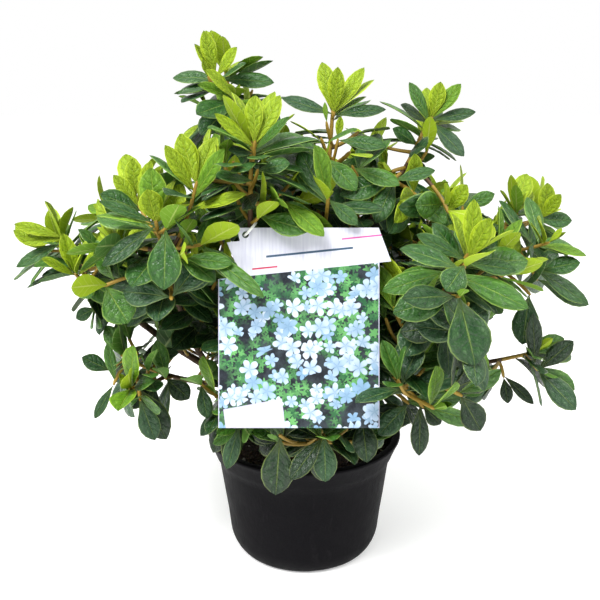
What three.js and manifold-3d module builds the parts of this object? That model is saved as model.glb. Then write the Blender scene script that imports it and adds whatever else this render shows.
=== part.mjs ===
// A potted evergreen azalea: a low, wide shrub in a black nursery pot, with a picture card hung on one stem.
// Millimetres, +Z up. The origin is the centre of the pot's flat underside, and -Y is the front.
import * as THREE from 'three';
import { mergeVertices } from 'three/addons/utils/BufferGeometryUtils.js';
import Module from 'manifold-3d';

const wasm = await Module();
wasm.setup();

// Driving dimensions of the pot and the compost in it
const POT_HEIGHT = 106;
const RIM_RADIUS = 85;
const RIM_INNER_RADIUS = 79;
const RIM_EDGE = 1.6;
const COLLAR_DEPTH = 24;
const WALL_TOP_RADIUS = 75.4;
const WALL_FOOT_RADIUS = 67.3;
const FOOT_HEIGHT = 16;
const BASE_RADIUS = 57.5;
const WALL = 1.6;
const ROUND_SIDES = 32;
const FOOT_COUNT = 4;
const FOOT_GAP = { width: 29, height: 2.2, depth: 14, turn: -72 };
const COMPOST_TOP = 95;
const COMPOST_CROWN = 2;
const GAP = 0.3;

// Driving dimensions of the wood
const TRUNK = { radius: 7.5, flare: 5, flareHeight: 0.22, height: 44, lean: [-4, 5] };
const MAIN_BOUGH = { start: 4.2, end: 2.5 };
const SIDE_BOUGH = { start: 2.7, end: 2.1 };
const SIDE_FOOT_RADIUS = 1.725;
const TIP_RADIUS = 1.5;
const STEM_LENGTH = 78;
const STEM_SHARE = 0.5;
const BEND_OUT = 0.6;
const BEND_UP = 0.3;

// Driving dimensions of the leaves: young ones stand up in the middle of a shoot, grown ones spread below
const YOUNG = { length: 38, width: 18, splay: 14, splayStep: 11, count: 3 };
const GROWN = { length: 44, width: 29, splay: 56, splayStep: 9, count: 4 };
const LEAF_THICKNESS = 1.3;
const WIDEST = 0.56;
const LEAF_DROOP = 0.12;
const LEAF_SPREAD = 0.1;
const UPRIGHT = 0.9;
const LEADER_LEAVES = 12;
const SIDE_LEAVES = 9;
const NODE_STEP = 1.9;
const LOWER_STEP = 11;
const GOLDEN_ANGLE = 137.5;
const POSTURES = 5;
const POSTURE_TURN = 35;
const SPLAY_PLAY = 16;
const SPACE_MARGIN = 1;
const LEAF_CLEAR = 1.2;
const SLIVER = 0.05;
const ROOT_OUT = 0.3;

// The crown: each mass of foliage hangs on its own bough. heading, reach and height place the tip of its
// leader; heading 0 is to the right and 270 to the front. from is what the bough grows out of, and at is how
// far along it. Side shoots stand round the leader: the first at turn, each next one a fan further round, all
// of them a spread away from the leader's tip and a drop below it, which grows from shoot to shoot.
const USUAL = { spread: 42, drop: 16, side: 4, fan: 120 };
const TURN_OFF = 60;
const DROP_STEP = 0.8;
const LEAVE_HIGH = 0.62;
const LEAVE_STEP = 0.18;
const CROWN = [
  { name: 'left_tip', from: 'trunk', at: 0.66, heading: 183, reach: 203, height: 275,
    turn: 345, fan: -45, spread: 54, drop: 8, side: 2 },
  { name: 'front_left', from: 'trunk', at: 0.4, heading: 243, reach: 83, height: 360, out: 1.3,
    turn: 180, fan: -150, spread: 38, drop: 26, side: 2 },
  { name: 'top_middle', from: 'trunk', at: 0.98, heading: 310, reach: 33, height: 382,
    turn: 40, fan: -104, spread: 30, side: 3 },
  { name: 'right_front', from: 'trunk', at: 0.6, heading: 317, reach: 154, height: 286,
    turn: 33, spread: 40, drop: 20, side: 3 },
  { name: 'right_high', from: 'trunk', at: 0.78, heading: 353, reach: 170, height: 306,
    turn: 48, fan: -112, spread: 38, drop: 12, side: 3 },
  { name: 'back_right', from: 'trunk', at: 0.55, heading: 38, reach: 168, height: 292 },
  { name: 'back_middle', from: 'trunk', at: 0.72, heading: 92, reach: 168, height: 268 },
  { name: 'low_front', from: 'trunk', at: 0.2, heading: 277, reach: 106, height: 147,
    turn: 0, fan: 180, spread: 32, drop: 2, side: 2 },

  { name: 'left_front', from: 'left_tip', at: 0.5, heading: 222, reach: 142, height: 311,
    turn: 154, fan: -110, spread: 38, drop: 22, side: 3 },
  { name: 'low_left', from: 'left_tip', at: 0.3, heading: 202, reach: 156, height: 195,
    turn: 50, fan: -60, spread: 46, drop: 4, side: 3 },
  { name: 'low_left_front', from: 'front_left', at: 0.2, heading: 226, reach: 101, height: 166,
    turn: 335, spread: 26, drop: 22, side: 1 },
  { name: 'top_left', from: 'top_middle', at: 0.4, heading: 150, reach: 77, height: 413,
    turn: 290, fan: -60, spread: 34, drop: 22, side: 3 },
  { name: 'top_right', from: 'top_middle', at: 0.7, heading: 351, reach: 98, height: 375,
    turn: 170, fan: 40, spread: 35, drop: 22, side: 3 },
  { name: 'low_right_front', from: 'right_front', at: 0.25, heading: 307, reach: 124, height: 202,
    turn: 67, fan: -130, spread: 34, drop: 12, side: 2 },
  { name: 'low_right', from: 'right_high', at: 0.35, heading: 343, reach: 190, height: 197,
    turn: 218, fan: -62, spread: 56, drop: 6, side: 2 },
  { name: 'back_right_high', from: 'back_right', at: 0.55, heading: 55, reach: 102, height: 338 },
  { name: 'low_back_right', from: 'back_right', at: 0.3, heading: 20, reach: 160, height: 190, drop: 4 },
  { name: 'back_left_high', from: 'back_middle', at: 0.6, heading: 118, reach: 106, height: 338 },
  { name: 'low_back', from: 'back_middle', at: 0.25, heading: 78, reach: 158, height: 186, drop: 4 },
  { name: 'back_left', from: 'left_tip', at: 0.7, heading: 146, reach: 178, height: 300 },
  { name: 'low_back_left', from: 'back_middle', at: 0.42, heading: 134, reach: 162, height: 188, drop: 4 },
];

// The picture card: a thin sheet in one piece with its heading, held by a loop on the front left stem
const CARD = { width: 115, thickness: 0.7, lean: 15, foot: [-4.7, -121, 162] };
const HEADING_BAND = { left: [16.5, 108], leftTop: [6, 132.5], right: [123.5, 119] };
const HANGER = { left: [15.3, 133.5], leftTop: [13, 143], rightTop: [114.5, 143], hole: [19.4, 138], holeRadius: 2.4 };
const LOOP = { radius: 6.4, thickness: 0.8, tilt: 48, beside: [3, 4.6, 3.3] };

// Colours
const material = (color, roughness) => new THREE.MeshStandardMaterial({ color, roughness, metalness: 0 });
const POT_PLASTIC = material('#1d1b1d', 0.6);
const COMPOST = material('#2a1d16', 0.95);
const BARK = material('#5b3f27', 0.85);
const LEAF_GREEN = material('#4c7f35', 0.5);
const CARD_PRINT = material('#dfe4ee', 0.4);
const LOOP_PLASTIC = material('#e4e6e2', 0.4);

const UP = new THREE.Vector3(0, 0, 1);
const radians = THREE.MathUtils.degToRad;

// A number from 0 to 1 that is always the same for the same mass, shoot, leaf and question
function chance(mass, shoot, leaf, question) {
  const mixed = Math.sin(mass * 12.9898 + shoot * 78.233 + leaf * 37.719 + question * 9.151) * 43758.5453;
  return mixed - Math.floor(mixed);
}

const spreadOf = (size, share, ...key) => size * (1 + share * (2 * chance(...key) - 1));

// Solids and meshes
function solidOf(geometry) {
  const bare = geometry.clone();
  bare.deleteAttribute('normal');
  bare.deleteAttribute('uv');
  const merged = mergeVertices(bare, 1e-4);
  return new wasm.Manifold(new wasm.Mesh({
    numProp: 3,
    vertProperties: new Float32Array(merged.attributes.position.array),
    triVerts: new Uint32Array(merged.index.array),
  }));
}

function meshOf(name, solid, look) {
  const made = solid.getMesh();
  const geometry = new THREE.BufferGeometry();
  geometry.setAttribute('position', new THREE.BufferAttribute(new Float32Array(made.vertProperties), 3));
  geometry.setIndex(new THREE.BufferAttribute(new Uint32Array(made.triVerts), 1));
  geometry.computeVertexNormals();
  const mesh = new THREE.Mesh(geometry, look);
  mesh.name = name;
  return mesh;
}

// The biggest body of a solid, so that no loose scrap stays beside it
function mainBody(solid) {
  return solid.decompose().reduce((a, b) => (a.volume() > b.volume() ? a : b));
}

// A closed profile of [radius, height] points turned about the Z axis
function turned(profile) {
  const points = profile.map(([r, z]) => new THREE.Vector2(r, z));
  const lathe = new THREE.LatheGeometry(points, ROUND_SIDES);
  return solidOf(lathe.rotateX(Math.PI / 2));
}

// The pot: a thin wall, a collar that flares out to a flat rim, and a rounded foot
const COLLAR_FOOT = POT_HEIGHT - COLLAR_DEPTH;
const wallRadius = (z) => THREE.MathUtils.lerp(
  WALL_FOOT_RADIUS, WALL_TOP_RADIUS, (z - FOOT_HEIGHT) / (COLLAR_FOOT - FOOT_HEIGHT));
const collarInside = (z) => THREE.MathUtils.lerp(
  WALL_TOP_RADIUS - WALL, RIM_INNER_RADIUS, (z - COLLAR_FOOT) / COLLAR_DEPTH);

function potProfile() {
  return [
    [0, 0],
    [BASE_RADIUS, 0],
    [BASE_RADIUS + 4, 2],
    [BASE_RADIUS + 7.5, 7.5],
    [WALL_FOOT_RADIUS, FOOT_HEIGHT],
    [WALL_TOP_RADIUS, COLLAR_FOOT],
    [RIM_RADIUS - 0.8, POT_HEIGHT - 2 * RIM_EDGE],
    [RIM_RADIUS, POT_HEIGHT - RIM_EDGE],
    [RIM_RADIUS - 1, POT_HEIGHT],
    [collarInside(POT_HEIGHT), POT_HEIGHT],
    [collarInside(COLLAR_FOOT), COLLAR_FOOT],
    [WALL_FOOT_RADIUS - WALL, FOOT_HEIGHT],
    [BASE_RADIUS + 4.6, 6.6],
    [BASE_RADIUS - 1, 2 * WALL],
    [0, 2 * WALL],
  ];
}

function potSolid() {
  let pot = turned(potProfile());
  for (let i = 0; i < FOOT_COUNT; i++) {
    const cut = new THREE.BoxGeometry(FOOT_GAP.depth, FOOT_GAP.width, FOOT_GAP.height * 2);
    cut.translate(BASE_RADIUS - 2 + FOOT_GAP.depth / 2, 0, 0);
    cut.rotateZ(radians(FOOT_GAP.turn + (360 / FOOT_COUNT) * i));
    pot = pot.subtract(solidOf(cut));
  }
  return pot;
}

// The compost fills the pot to a little under its rim, a touch higher in the middle
function compostSolid() {
  const inner = (z) => wallRadius(z) - WALL - GAP;
  return turned([
    [0, 2 * WALL + GAP],
    [BASE_RADIUS - 2, 2 * WALL + GAP],
    [inner(FOOT_HEIGHT), FOOT_HEIGHT],
    [inner(COLLAR_FOOT), COLLAR_FOOT],
    [collarInside(COMPOST_TOP - COMPOST_CROWN) - GAP, COMPOST_TOP - COMPOST_CROWN],
    [TRUNK.radius * 3, COMPOST_TOP],
    [0, COMPOST_TOP],
  ]);
}

// A limb: a cylinder bent along a curve that lies in one plane, its radius given by how far along it is
function limb(curve, from, to, radiusAt, sides, steps) {
  const bent = new THREE.CylinderGeometry(1, 1, 1, sides, steps);
  const [a, b, c] = [curve.getPoint(0), curve.getPoint(0.5), curve.getPoint(1)];
  const across = b.clone().sub(a).cross(c.clone().sub(a));
  if (across.length() < 1e-6) across.set(1, 0, 0);
  across.normalize();
  const at = bent.attributes.position;
  for (let i = 0; i < at.count; i++) {
    const along = at.getY(i) + 0.5;
    const u = THREE.MathUtils.lerp(from, to, along);
    const tangent = curve.getTangentAt(u);
    const side = tangent.clone().cross(across);
    const radius = radiusAt(along);
    const place = curve.getPointAt(u)
      .addScaledVector(side, at.getX(i) * radius)
      .addScaledVector(across, at.getZ(i) * radius);
    at.setXYZ(i, place.x, place.y, place.z);
  }
  return solidOf(bent);
}

const taper = (start, end) => (along) => THREE.MathUtils.lerp(start, end, along);

// The trunk leans a little and flares where it meets the compost
const trunkFoot = new THREE.Vector3(0, 0, COMPOST_TOP + GAP);
const trunkTop = new THREE.Vector3(TRUNK.lean[0], TRUNK.lean[1], COMPOST_TOP + TRUNK.height);
const trunkCurve = new THREE.QuadraticBezierCurve3(
  trunkFoot, new THREE.Vector3(0, 0, COMPOST_TOP + TRUNK.height * 0.6), trunkTop);
const trunkRadius = (grow) => (along) =>
  grow + TRUNK.radius * (1 - 0.25 * along) + TRUNK.flare * Math.exp(-along / TRUNK.flareHeight);

function trunkSolid(grow = 0) {
  const raw = limb(trunkCurve, 0, 1, trunkRadius(grow), 12, 6);
  const level = new THREE.BoxGeometry(80, 80, 10);
  level.translate(0, 0, trunkFoot.z - 5);
  return raw.subtract(solidOf(level));
}

// A branch bends outwards first and upwards at its end
function branchCurve(start, end, out = BEND_OUT) {
  const middle = new THREE.Vector3(
    THREE.MathUtils.lerp(start.x, end.x, out),
    THREE.MathUtils.lerp(start.y, end.y, out),
    THREE.MathUtils.lerp(start.z, end.z, BEND_UP));
  return new THREE.QuadraticBezierCurve3(start, middle, end);
}

const polar = (heading, reach, height) => new THREE.Vector3(
  reach * Math.cos(radians(heading)), reach * Math.sin(radians(heading)), height);

// Every mass gets its leader: one curve, whose first part is the bough and whose last part is the mass's stem
const masses = new Map();

function placeLeader(row, index) {
  const parent = row.from === 'trunk' ? { curve: trunkCurve, end: 1 } : masses.get(row.from);
  const start = parent.curve.getPointAt(row.at * parent.end);
  const curve = branchCurve(start, polar(row.heading, row.reach, row.height), row.out);
  const length = curve.getLength();
  const end = 1 - Math.min(STEM_LENGTH, STEM_SHARE * length) / length;
  const size = row.from === 'trunk' ? MAIN_BOUGH : SIDE_BOUGH;
  masses.set(row.name, { ...row, index, curve, length, end, size, shoots: [] });
}

CROWN.forEach((row, index) => placeLeader({ ...USUAL, turn: row.heading + TURN_OFF, ...row }, index));

const boughSolids = new Map();
const trunkRoom = trunkSolid(GAP);
const trunkRise = trunkCurve.getTangentAt(1).multiplyScalar(GAP);
const trunkSeat = trunkRoom.add(trunkRoom.translate(...trunkRise.toArray()));

function growBough(mass) {
  const grown = (grow) => limb(
    mass.curve, 0, mass.end, taper(mass.size.start + grow, mass.size.end + grow), 6, 4);
  const seat = mass.from === 'trunk' ? trunkSeat : boughSolids.get(mass.from).grown(GAP);
  boughSolids.set(mass.name, { bough: mainBody(grown(0).subtract(seat)), grown });
}

masses.forEach(growBough);

// Points along a curve from one share of it to another, each with the limb's radius there
function trace(curve, from, to, radiusAt, step = 3) {
  const count = Math.max(2, Math.ceil(((to - from) * curve.getLength()) / step));
  return Array.from({ length: count + 1 }, (_, i) => {
    const along = i / count;
    return { at: curve.getPointAt(THREE.MathUtils.lerp(from, to, along)), radius: radiusAt(along) };
  });
}

const limbTraces = [{ mass: null, points: trace(trunkCurve, 0, 1, trunkRadius(0)) }];
masses.forEach((mass) => limbTraces.push({
  mass: null, points: trace(mass.curve, 0, mass.end, taper(mass.size.start, mass.size.end)),
}));

// Shoots: the leader first, then the side shoots that keep clear of every limb and of other masses' twigs
function stemOf(mass) {
  const from = mass.end + GAP / mass.length;
  return { curve: mass.curve, from, to: 1, radiusAt: taper(mass.size.end, TIP_RADIUS) };
}

masses.forEach((mass) => {
  const stem = stemOf(mass);
  const shoot = { ...stem, key: 0, leaves: LEADER_LEAVES };
  mass.shoots.push(shoot);
  limbTraces.push({ mass, shoot, points: trace(stem.curve, stem.from, 1, stem.radiusAt) });
});

function sideShoot(mass, k) {
  const leave = LEAVE_HIGH - LEAVE_STEP * (k - 1);
  const start = mass.curve.getPointAt(THREE.MathUtils.lerp(mass.end, 1, leave));
  const drop = mass.drop * (1 + DROP_STEP * (k - 1));
  const tip = mass.curve.getPoint(1).add(polar(mass.turn + mass.fan * (k - 1), mass.spread, -drop));
  const curve = branchCurve(start, tip);
  const radiusAt = taper(SIDE_FOOT_RADIUS, TIP_RADIUS);
  return { curve, from: 0, to: 1, radiusAt, key: k, leaves: SIDE_LEAVES };
}

function clearOfLimbs(mass, points) {
  return limbTraces.every((other) => other.mass === mass || points.every((p) => other.points.every(
    (q) => p.at.distanceTo(q.at) > p.radius + q.radius + 1)));
}

const overPot = (p) => p.z > POT_HEIGHT + 2 || Math.hypot(p.x, p.y) > RIM_RADIUS + 2;

masses.forEach((mass) => {
  for (let k = 1; k <= mass.side; k++) {
    const shoot = sideShoot(mass, k);
    const points = trace(shoot.curve, 0, 1, shoot.radiusAt);
    if (!clearOfLimbs(mass, points) || !points.every((p) => overPot(p.at) && clearOfCard(p.at))) continue;
    mass.shoots.push(shoot);
    limbTraces.push({ mass, shoot, points });
  }
});

// The card's own frame: x across it, y up it and z out of its face
function cardFrame() {
  const lean = radians(CARD.lean);
  const across = new THREE.Vector3(1, 0, 0);
  const up = new THREE.Vector3(0, Math.sin(lean), Math.cos(lean));
  const out = across.clone().cross(up);
  const corner = new THREE.Vector3(...CARD.foot).addScaledVector(across, -CARD.width / 2);
  return new THREE.Matrix4().makeBasis(across, up, out).setPosition(corner);
}

function clearOfCard(p) {
  const local = p.clone().applyMatrix4(cardFrame().invert());
  const beside = local.x < -4 || local.x > HEADING_BAND.right[0] + 4
    || local.y < -4 || local.y > HANGER.leftTop[1] + 4;
  return (beside || Math.abs(local.z) > 4) && p.distanceTo(loopCentre()) > LOOP.radius + 3;
}

// The loop comes through the card's hole, over the card's top edge and round the stem behind it
function loopCentre() {
  const hole = new THREE.Vector3(...HANGER.hole, 0).applyMatrix4(cardFrame());
  return hole.add(new THREE.Vector3(...LOOP.beside));
}

// Over the picture the card has a wide heading cut at a slant, and over that a level plate with the hole in it
function cardOutline() {
  const [x0, y0] = HEADING_BAND.left;
  const slope = (HEADING_BAND.right[1] - y0) / (HEADING_BAND.right[0] - x0);
  const outline = new THREE.Shape([
    [0, 0],
    [CARD.width, 0],
    [CARD.width, y0 + slope * (CARD.width - x0)],
    HEADING_BAND.right,
    HANGER.rightTop,
    HANGER.leftTop,
    HANGER.left,
    HEADING_BAND.leftTop,
    HEADING_BAND.left,
    [0, y0 - slope * x0],
  ].map(([x, y]) => new THREE.Vector2(x, y)));
  const hole = new THREE.Path();
  hole.absarc(...HANGER.hole, HANGER.holeRadius, 0, 2 * Math.PI, true);
  outline.holes.push(hole);
  return outline;
}

function cardSolid() {
  const plate = new THREE.ExtrudeGeometry(cardOutline(), {
    depth: CARD.thickness, bevelEnabled: false, curveSegments: 10,
  });
  return solidOf(plate.translate(0, 0, -CARD.thickness / 2).applyMatrix4(cardFrame()));
}

// Leaves: a blade flat above and keeled below along its midrib, widest past its middle, bent down at its tip
function leafSolid(leaf) {
  const blade = new THREE.SphereGeometry(1, 3, 2).rotateY(-Math.PI / 2);
  const at = blade.attributes.position;
  for (let i = 0; i < at.count; i++) {
    const along = at.getY(i) < -0.5 ? 0 : Math.max(at.getY(i), WIDEST);
    const fall = leaf.droop * leaf.length * along * along;
    const across = at.getX(i) / Math.sin(Math.PI / 3);
    at.setXYZ(i, across * leaf.width / 2, along * leaf.length, at.getZ(i) * (LEAF_THICKNESS / 1.5) - fall);
  }
  return solidOf(blade.applyMatrix4(leaf.frame));
}

// Places leaf number i of a shoot, counted from its tip down, by the golden angle; a posture is another try
function leafOf(mass, shoot, i, posture) {
  const key = [mass.index, shoot.key, i + 1];
  const young = i < YOUNG.count;
  const kind = young ? YOUNG : GROWN;
  const step = young ? i : i - YOUNG.count;
  const lower = Math.max(0, step - GROWN.count + 1);
  const down = (i + 1) * NODE_STEP + lower * LOWER_STEP;
  const along = Math.max(shoot.from, shoot.to - down / shoot.curve.getLength());
  const axis = shoot.curve.getTangentAt(along).addScaledVector(UP, UPRIGHT).normalize();
  const first = new THREE.Vector3(1, 0, 0).cross(axis).normalize();
  const second = axis.clone().cross(first);
  const turn = radians(GOLDEN_ANGLE * i + 360 * chance(mass.index, shoot.key, 0, 2) + POSTURE_TURN * posture);
  const outward = first.multiplyScalar(Math.cos(turn)).addScaledVector(second, Math.sin(turn));
  const root = shoot.curve.getPointAt(along).addScaledVector(outward, ROOT_OUT);
  const play = SPLAY_PLAY * (chance(...key, 3 + posture) - 0.5);
  const splay = radians(kind.splay + kind.splayStep * (step - lower) + play);
  const run = axis.clone().multiplyScalar(Math.cos(splay)).addScaledVector(outward, Math.sin(splay));
  const face = axis.clone().multiplyScalar(Math.sin(splay)).addScaledVector(outward, -Math.cos(splay));
  return {
    frame: new THREE.Matrix4().makeBasis(run.clone().cross(face), run, face).setPosition(root),
    length: spreadOf(kind.length, LEAF_SPREAD, ...key, 9),
    width: spreadOf(kind.width, LEAF_SPREAD, ...key, 10),
    droop: young ? 0.03 : LEAF_DROOP * (0.5 + chance(...key, 11)),
  };
}

// A mass's space is what lies nearer to its own wood than to any other mass's
const ownTraces = (mass) => limbTraces.filter((t) => t.mass === mass);
const otherTraces = (mass) => limbTraces.filter((t) => t.mass && t.mass !== mass);
const nearestOf = (p, points) => Math.min(...points.map((q) => p.distanceTo(q.at)));
const nearest = (p, traces) => Math.min(...traces.map((t) => nearestOf(p, t.points)));

const halfWidth = (y) => 0.5 * Math.min(y / WIDEST, (1 - y) / (1 - WIDEST));
const LEAF_SAMPLES = [0.12, 0.3, WIDEST, 0.7, 0.85, 1].flatMap(
  (y) => [[-halfWidth(y), y], [0, y], [halfWidth(y), y]]);

function samplesOf(leaf) {
  return LEAF_SAMPLES.map(([x, y]) => new THREE.Vector3(
    x * leaf.width, y * leaf.length, -leaf.droop * leaf.length * y * y).applyMatrix4(leaf.frame));
}

// How near the leaf's blade a limb passes: true if the limb would touch it
function touchesLimb(leaf, points) {
  const back = leaf.frame.clone().invert();
  return points.some(({ at, radius }) => {
    const p = at.clone().applyMatrix4(back);
    const along = THREE.MathUtils.clamp(p.y / leaf.length, 0, 1);
    const fall = leaf.droop * leaf.length * along * along;
    const room = radius + LEAF_THICKNESS / 2 + 1;
    return p.y > -room && p.y < leaf.length + room && Math.abs(p.x) < leaf.width / 2 + room
      && Math.abs(p.z + fall) < room;
  });
}

function keepsItsSpace(mass, leaf) {
  const [own, others] = [ownTraces(mass), otherTraces(mass)];
  const inside = samplesOf(leaf).every((p) =>
    overPot(p) && clearOfCard(p) && nearest(p, own) + SPACE_MARGIN < nearest(p, others));
  return inside && !limbTraces.some((t) => t.shoot !== leaf.shoot && touchesLimb(leaf, t.points));
}

// Two leaves of one mass touch where an edge or the midrib of one comes up to the blade of the other
const RIM = [[0, 0], [-0.5, WIDEST], [0, 1], [0.5, WIDEST], [0, 0], [0, 1]];

function rimOf(leaf) {
  const corners = RIM.map(([x, y]) => new THREE.Vector3(
    x * leaf.width, y * leaf.length, -leaf.droop * leaf.length * y * y).applyMatrix4(leaf.frame));
  return corners.slice(1).flatMap((corner, i) =>
    [0.2, 0.4, 0.6, 0.8, 1].map((part) => corners[i].clone().lerp(corner, part)));
}

function reaches(rim, leaf) {
  const back = leaf.frame.clone().invert();
  let side = 0;
  return rim.some((point) => {
    const p = point.clone().applyMatrix4(back);
    const along = p.y / leaf.length;
    const height = p.z + leaf.droop * leaf.length * along * along;
    const within = along > 0.12 && Math.abs(p.x) < halfWidth(along) * leaf.width + 1;
    const swapped = within && side * height < 0;
    side = within ? Math.sign(height) : 0;
    return within && (Math.abs(height) < LEAF_CLEAR || swapped);
  });
}

function placeLeaves(mass) {
  const placed = [];
  for (const shoot of mass.shoots) {
    for (let i = 0; i < shoot.leaves; i++) {
      for (let posture = 0; posture < POSTURES; posture++) {
        const leaf = { ...leafOf(mass, shoot, i, posture), shoot };
        leaf.rim = rimOf(leaf);
        if (!keepsItsSpace(mass, leaf)) continue;
        if (placed.some((other) => reaches(leaf.rim, other) || reaches(other.rim, leaf))) continue;
        placed.push(leaf);
        break;
      }
    }
  }
  return placed;
}

function massSolid(mass) {
  const pieces = [];
  for (const shoot of mass.shoots) {
    pieces.push(limb(shoot.curve, shoot.from, shoot.to, shoot.radiusAt, 3, 3));
  }
  mass.leaves = placeLeaves(mass);
  mass.leaves.forEach((leaf) => pieces.push(leafSolid(leaf)));
  return mainBody(wasm.Manifold.union(pieces).simplify(SLIVER));
}

// The loop: a ring that leans to the left, so that one side is in the hole and the other over the edge
function loopSolid() {
  const ring = new THREE.TorusGeometry(LOOP.radius, LOOP.thickness, 5, 16);
  return solidOf(ring.rotateY(-radians(LOOP.tilt)).translate(...loopCentre().toArray()));
}

const azalea = new THREE.Group();
azalea.name = 'potted_azalea';
azalea.add(meshOf('pot', potSolid(), POT_PLASTIC));
azalea.add(meshOf('compost', compostSolid(), COMPOST));
azalea.add(meshOf('trunk', trunkSolid(), BARK));
masses.forEach((mass) => {
  azalea.add(meshOf(`bough_${mass.name}`, boughSolids.get(mass.name).bough, BARK));
  azalea.add(meshOf(`foliage_${mass.name}`, massSolid(mass), LEAF_GREEN));
});
azalea.add(meshOf('picture_card', cardSolid(), CARD_PRINT));
azalea.add(meshOf('card_loop', loopSolid(), LOOP_PLASTIC));

export default azalea;
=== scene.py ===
import math

import bpy
import numpy as np
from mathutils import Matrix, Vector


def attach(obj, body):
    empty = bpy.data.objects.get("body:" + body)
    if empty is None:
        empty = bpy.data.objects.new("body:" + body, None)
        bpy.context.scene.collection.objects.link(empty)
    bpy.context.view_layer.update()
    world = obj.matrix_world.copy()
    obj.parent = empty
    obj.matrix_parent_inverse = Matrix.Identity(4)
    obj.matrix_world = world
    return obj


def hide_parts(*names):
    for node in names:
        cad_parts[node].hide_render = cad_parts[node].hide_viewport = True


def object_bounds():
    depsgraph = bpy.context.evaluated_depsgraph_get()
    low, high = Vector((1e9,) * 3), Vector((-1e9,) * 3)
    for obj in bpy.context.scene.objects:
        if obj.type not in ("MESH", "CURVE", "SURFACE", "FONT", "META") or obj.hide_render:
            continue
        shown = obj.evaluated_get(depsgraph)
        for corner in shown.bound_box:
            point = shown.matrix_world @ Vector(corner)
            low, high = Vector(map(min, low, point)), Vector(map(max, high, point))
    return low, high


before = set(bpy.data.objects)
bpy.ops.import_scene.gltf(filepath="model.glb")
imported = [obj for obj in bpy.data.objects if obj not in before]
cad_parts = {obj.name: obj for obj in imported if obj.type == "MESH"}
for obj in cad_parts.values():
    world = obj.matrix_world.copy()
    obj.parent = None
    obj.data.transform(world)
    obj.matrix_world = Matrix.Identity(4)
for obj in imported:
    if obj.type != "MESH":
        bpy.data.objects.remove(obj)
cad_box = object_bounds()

# ---- Camera ----
# The shrub is seen from a little above its shoulders, 60 cm in front of the middle of the pot, by a camera
# that looks 14.9 degrees down and takes in 45 degrees across.
bpy.ops.object.select_all(action="DESELECT")
CAMERA_PLACE, CAMERA_TILT = np.array([-3.9, -600.0, 384.0]), 14.9
bpy.ops.object.camera_add(
    location=tuple(CAMERA_PLACE / 1000), rotation=(math.radians(90 - CAMERA_TILT), 0, 0))
camera = bpy.context.object
camera.data.sensor_width = 36
camera.data.lens = 43.68
camera.data.clip_start = 0.01
bpy.context.scene.camera = camera

# ---- Floor and light ----
# A pale studio floor that runs out of view, all white round it. More of the light comes from behind and
# above than from the front, and one broad soft lamp high on the left and a weaker one on the right fill it.


class Wire:
    """An output of a node. Sums and products of wires add the Math nodes that work them out."""

    def __init__(self, socket):
        self.socket = socket

    def node(self, kind, settings=None, values=None, out=0):
        """Adds a node of this kind, sets it up, fills its inputs and returns one of its outputs."""
        tree = self.socket.id_data
        made = tree.nodes.new("ShaderNode" + kind)
        for name, value in (settings or {}).items():
            setattr(made, name, value)
        for key, value in (values or {}).items():
            if isinstance(value, Wire):
                tree.links.new(value.socket, made.inputs[key])
            else:
                made.inputs[key].default_value = value
        return Wire(made.outputs[out])

    def also(self, out):
        """Another output of the same node."""
        return Wire(self.socket.node.outputs[out])

    def math(self, operation, *values):
        return self.node("Math", {"operation": operation}, dict(enumerate((self, *values))))

    def vector(self, operation, *values, out="Vector"):
        return self.node("VectorMath", {"operation": operation}, dict(enumerate((self, *values))), out)

    def __add__(self, other):
        return self.math("ADD", other)

    def __sub__(self, other):
        return self.math("SUBTRACT", other)

    def __rsub__(self, other):
        return self.node("Math", {"operation": "SUBTRACT"}, {0: other, 1: self})

    def __mul__(self, other):
        return self.math("MULTIPLY", other)

    __radd__, __rmul__ = __add__, __mul__

    def between(self, low, high):
        """0 below low, 1 above high and a straight rise from one to the other."""
        return self.node("MapRange", {}, {"Value": self, "From Min": low, "From Max": high})

    def tint(self, color, other):
        """The mix of two colours that this wire, from 0 to 1, asks for."""
        mixed = {"data_type": "RGBA"}
        both = {6: (*color, 1) if isinstance(color, tuple) else color,
                7: (*other, 1) if isinstance(other, tuple) else other}
        return self.node("Mix", mixed, {0: self, **both}, out=2)

    def into(self, shader, name):
        """Feeds an input of the shader."""
        self.socket.id_data.links.new(self.socket, shader.inputs[name])


def new_finish(name, color, roughness, **sockets):
    """A material of one shader, with its plain values set on the shader's own sockets."""
    finish = bpy.data.materials.new(name)
    finish.use_nodes = True
    shader = finish.node_tree.nodes["Principled BSDF"]
    shader.inputs["Base Color"].default_value = (*color, 1)
    shader.inputs["Roughness"].default_value = roughness
    for socket, value in sockets.items():
        shader.inputs[socket.replace("_", " ")].default_value = value
    place = Wire(finish.node_tree.nodes.new("ShaderNodeTexCoord").outputs["Object"])
    return finish, shader, place


bpy.ops.mesh.primitive_plane_add(size=60)
floor = bpy.context.object
floor.name = "studio_floor"
floor_finish, _, _ = new_finish(
    "pale_floor", (0.86, 0.86, 0.85), 0.9, Emission_Color=(1, 1, 1, 1), Emission_Strength=0.3)
floor.data.materials.append(floor_finish)

sky = bpy.data.worlds.new("white_sky")
bpy.context.scene.world = sky
sky.use_nodes = True
backdrop = sky.node_tree.nodes["Background"]
way = Wire(sky.node_tree.nodes.new("ShaderNodeTexCoord").outputs["Generated"])
backward = way.node("SeparateXYZ", {}, {0: way}, out=1)
upward = backward.also(2)
# the camera itself sees the white sheet alone
seen = way.node("LightPath")
lit = (backward + upward * 0.8).between(-0.6, 0.5).math("MAXIMUM", seen)
lit.tint((0.34, 0.35, 0.37), (1.0, 1.0, 1.0)).into(backdrop, "Color")
bpy.context.scene.view_settings.view_transform = "Standard"


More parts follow.
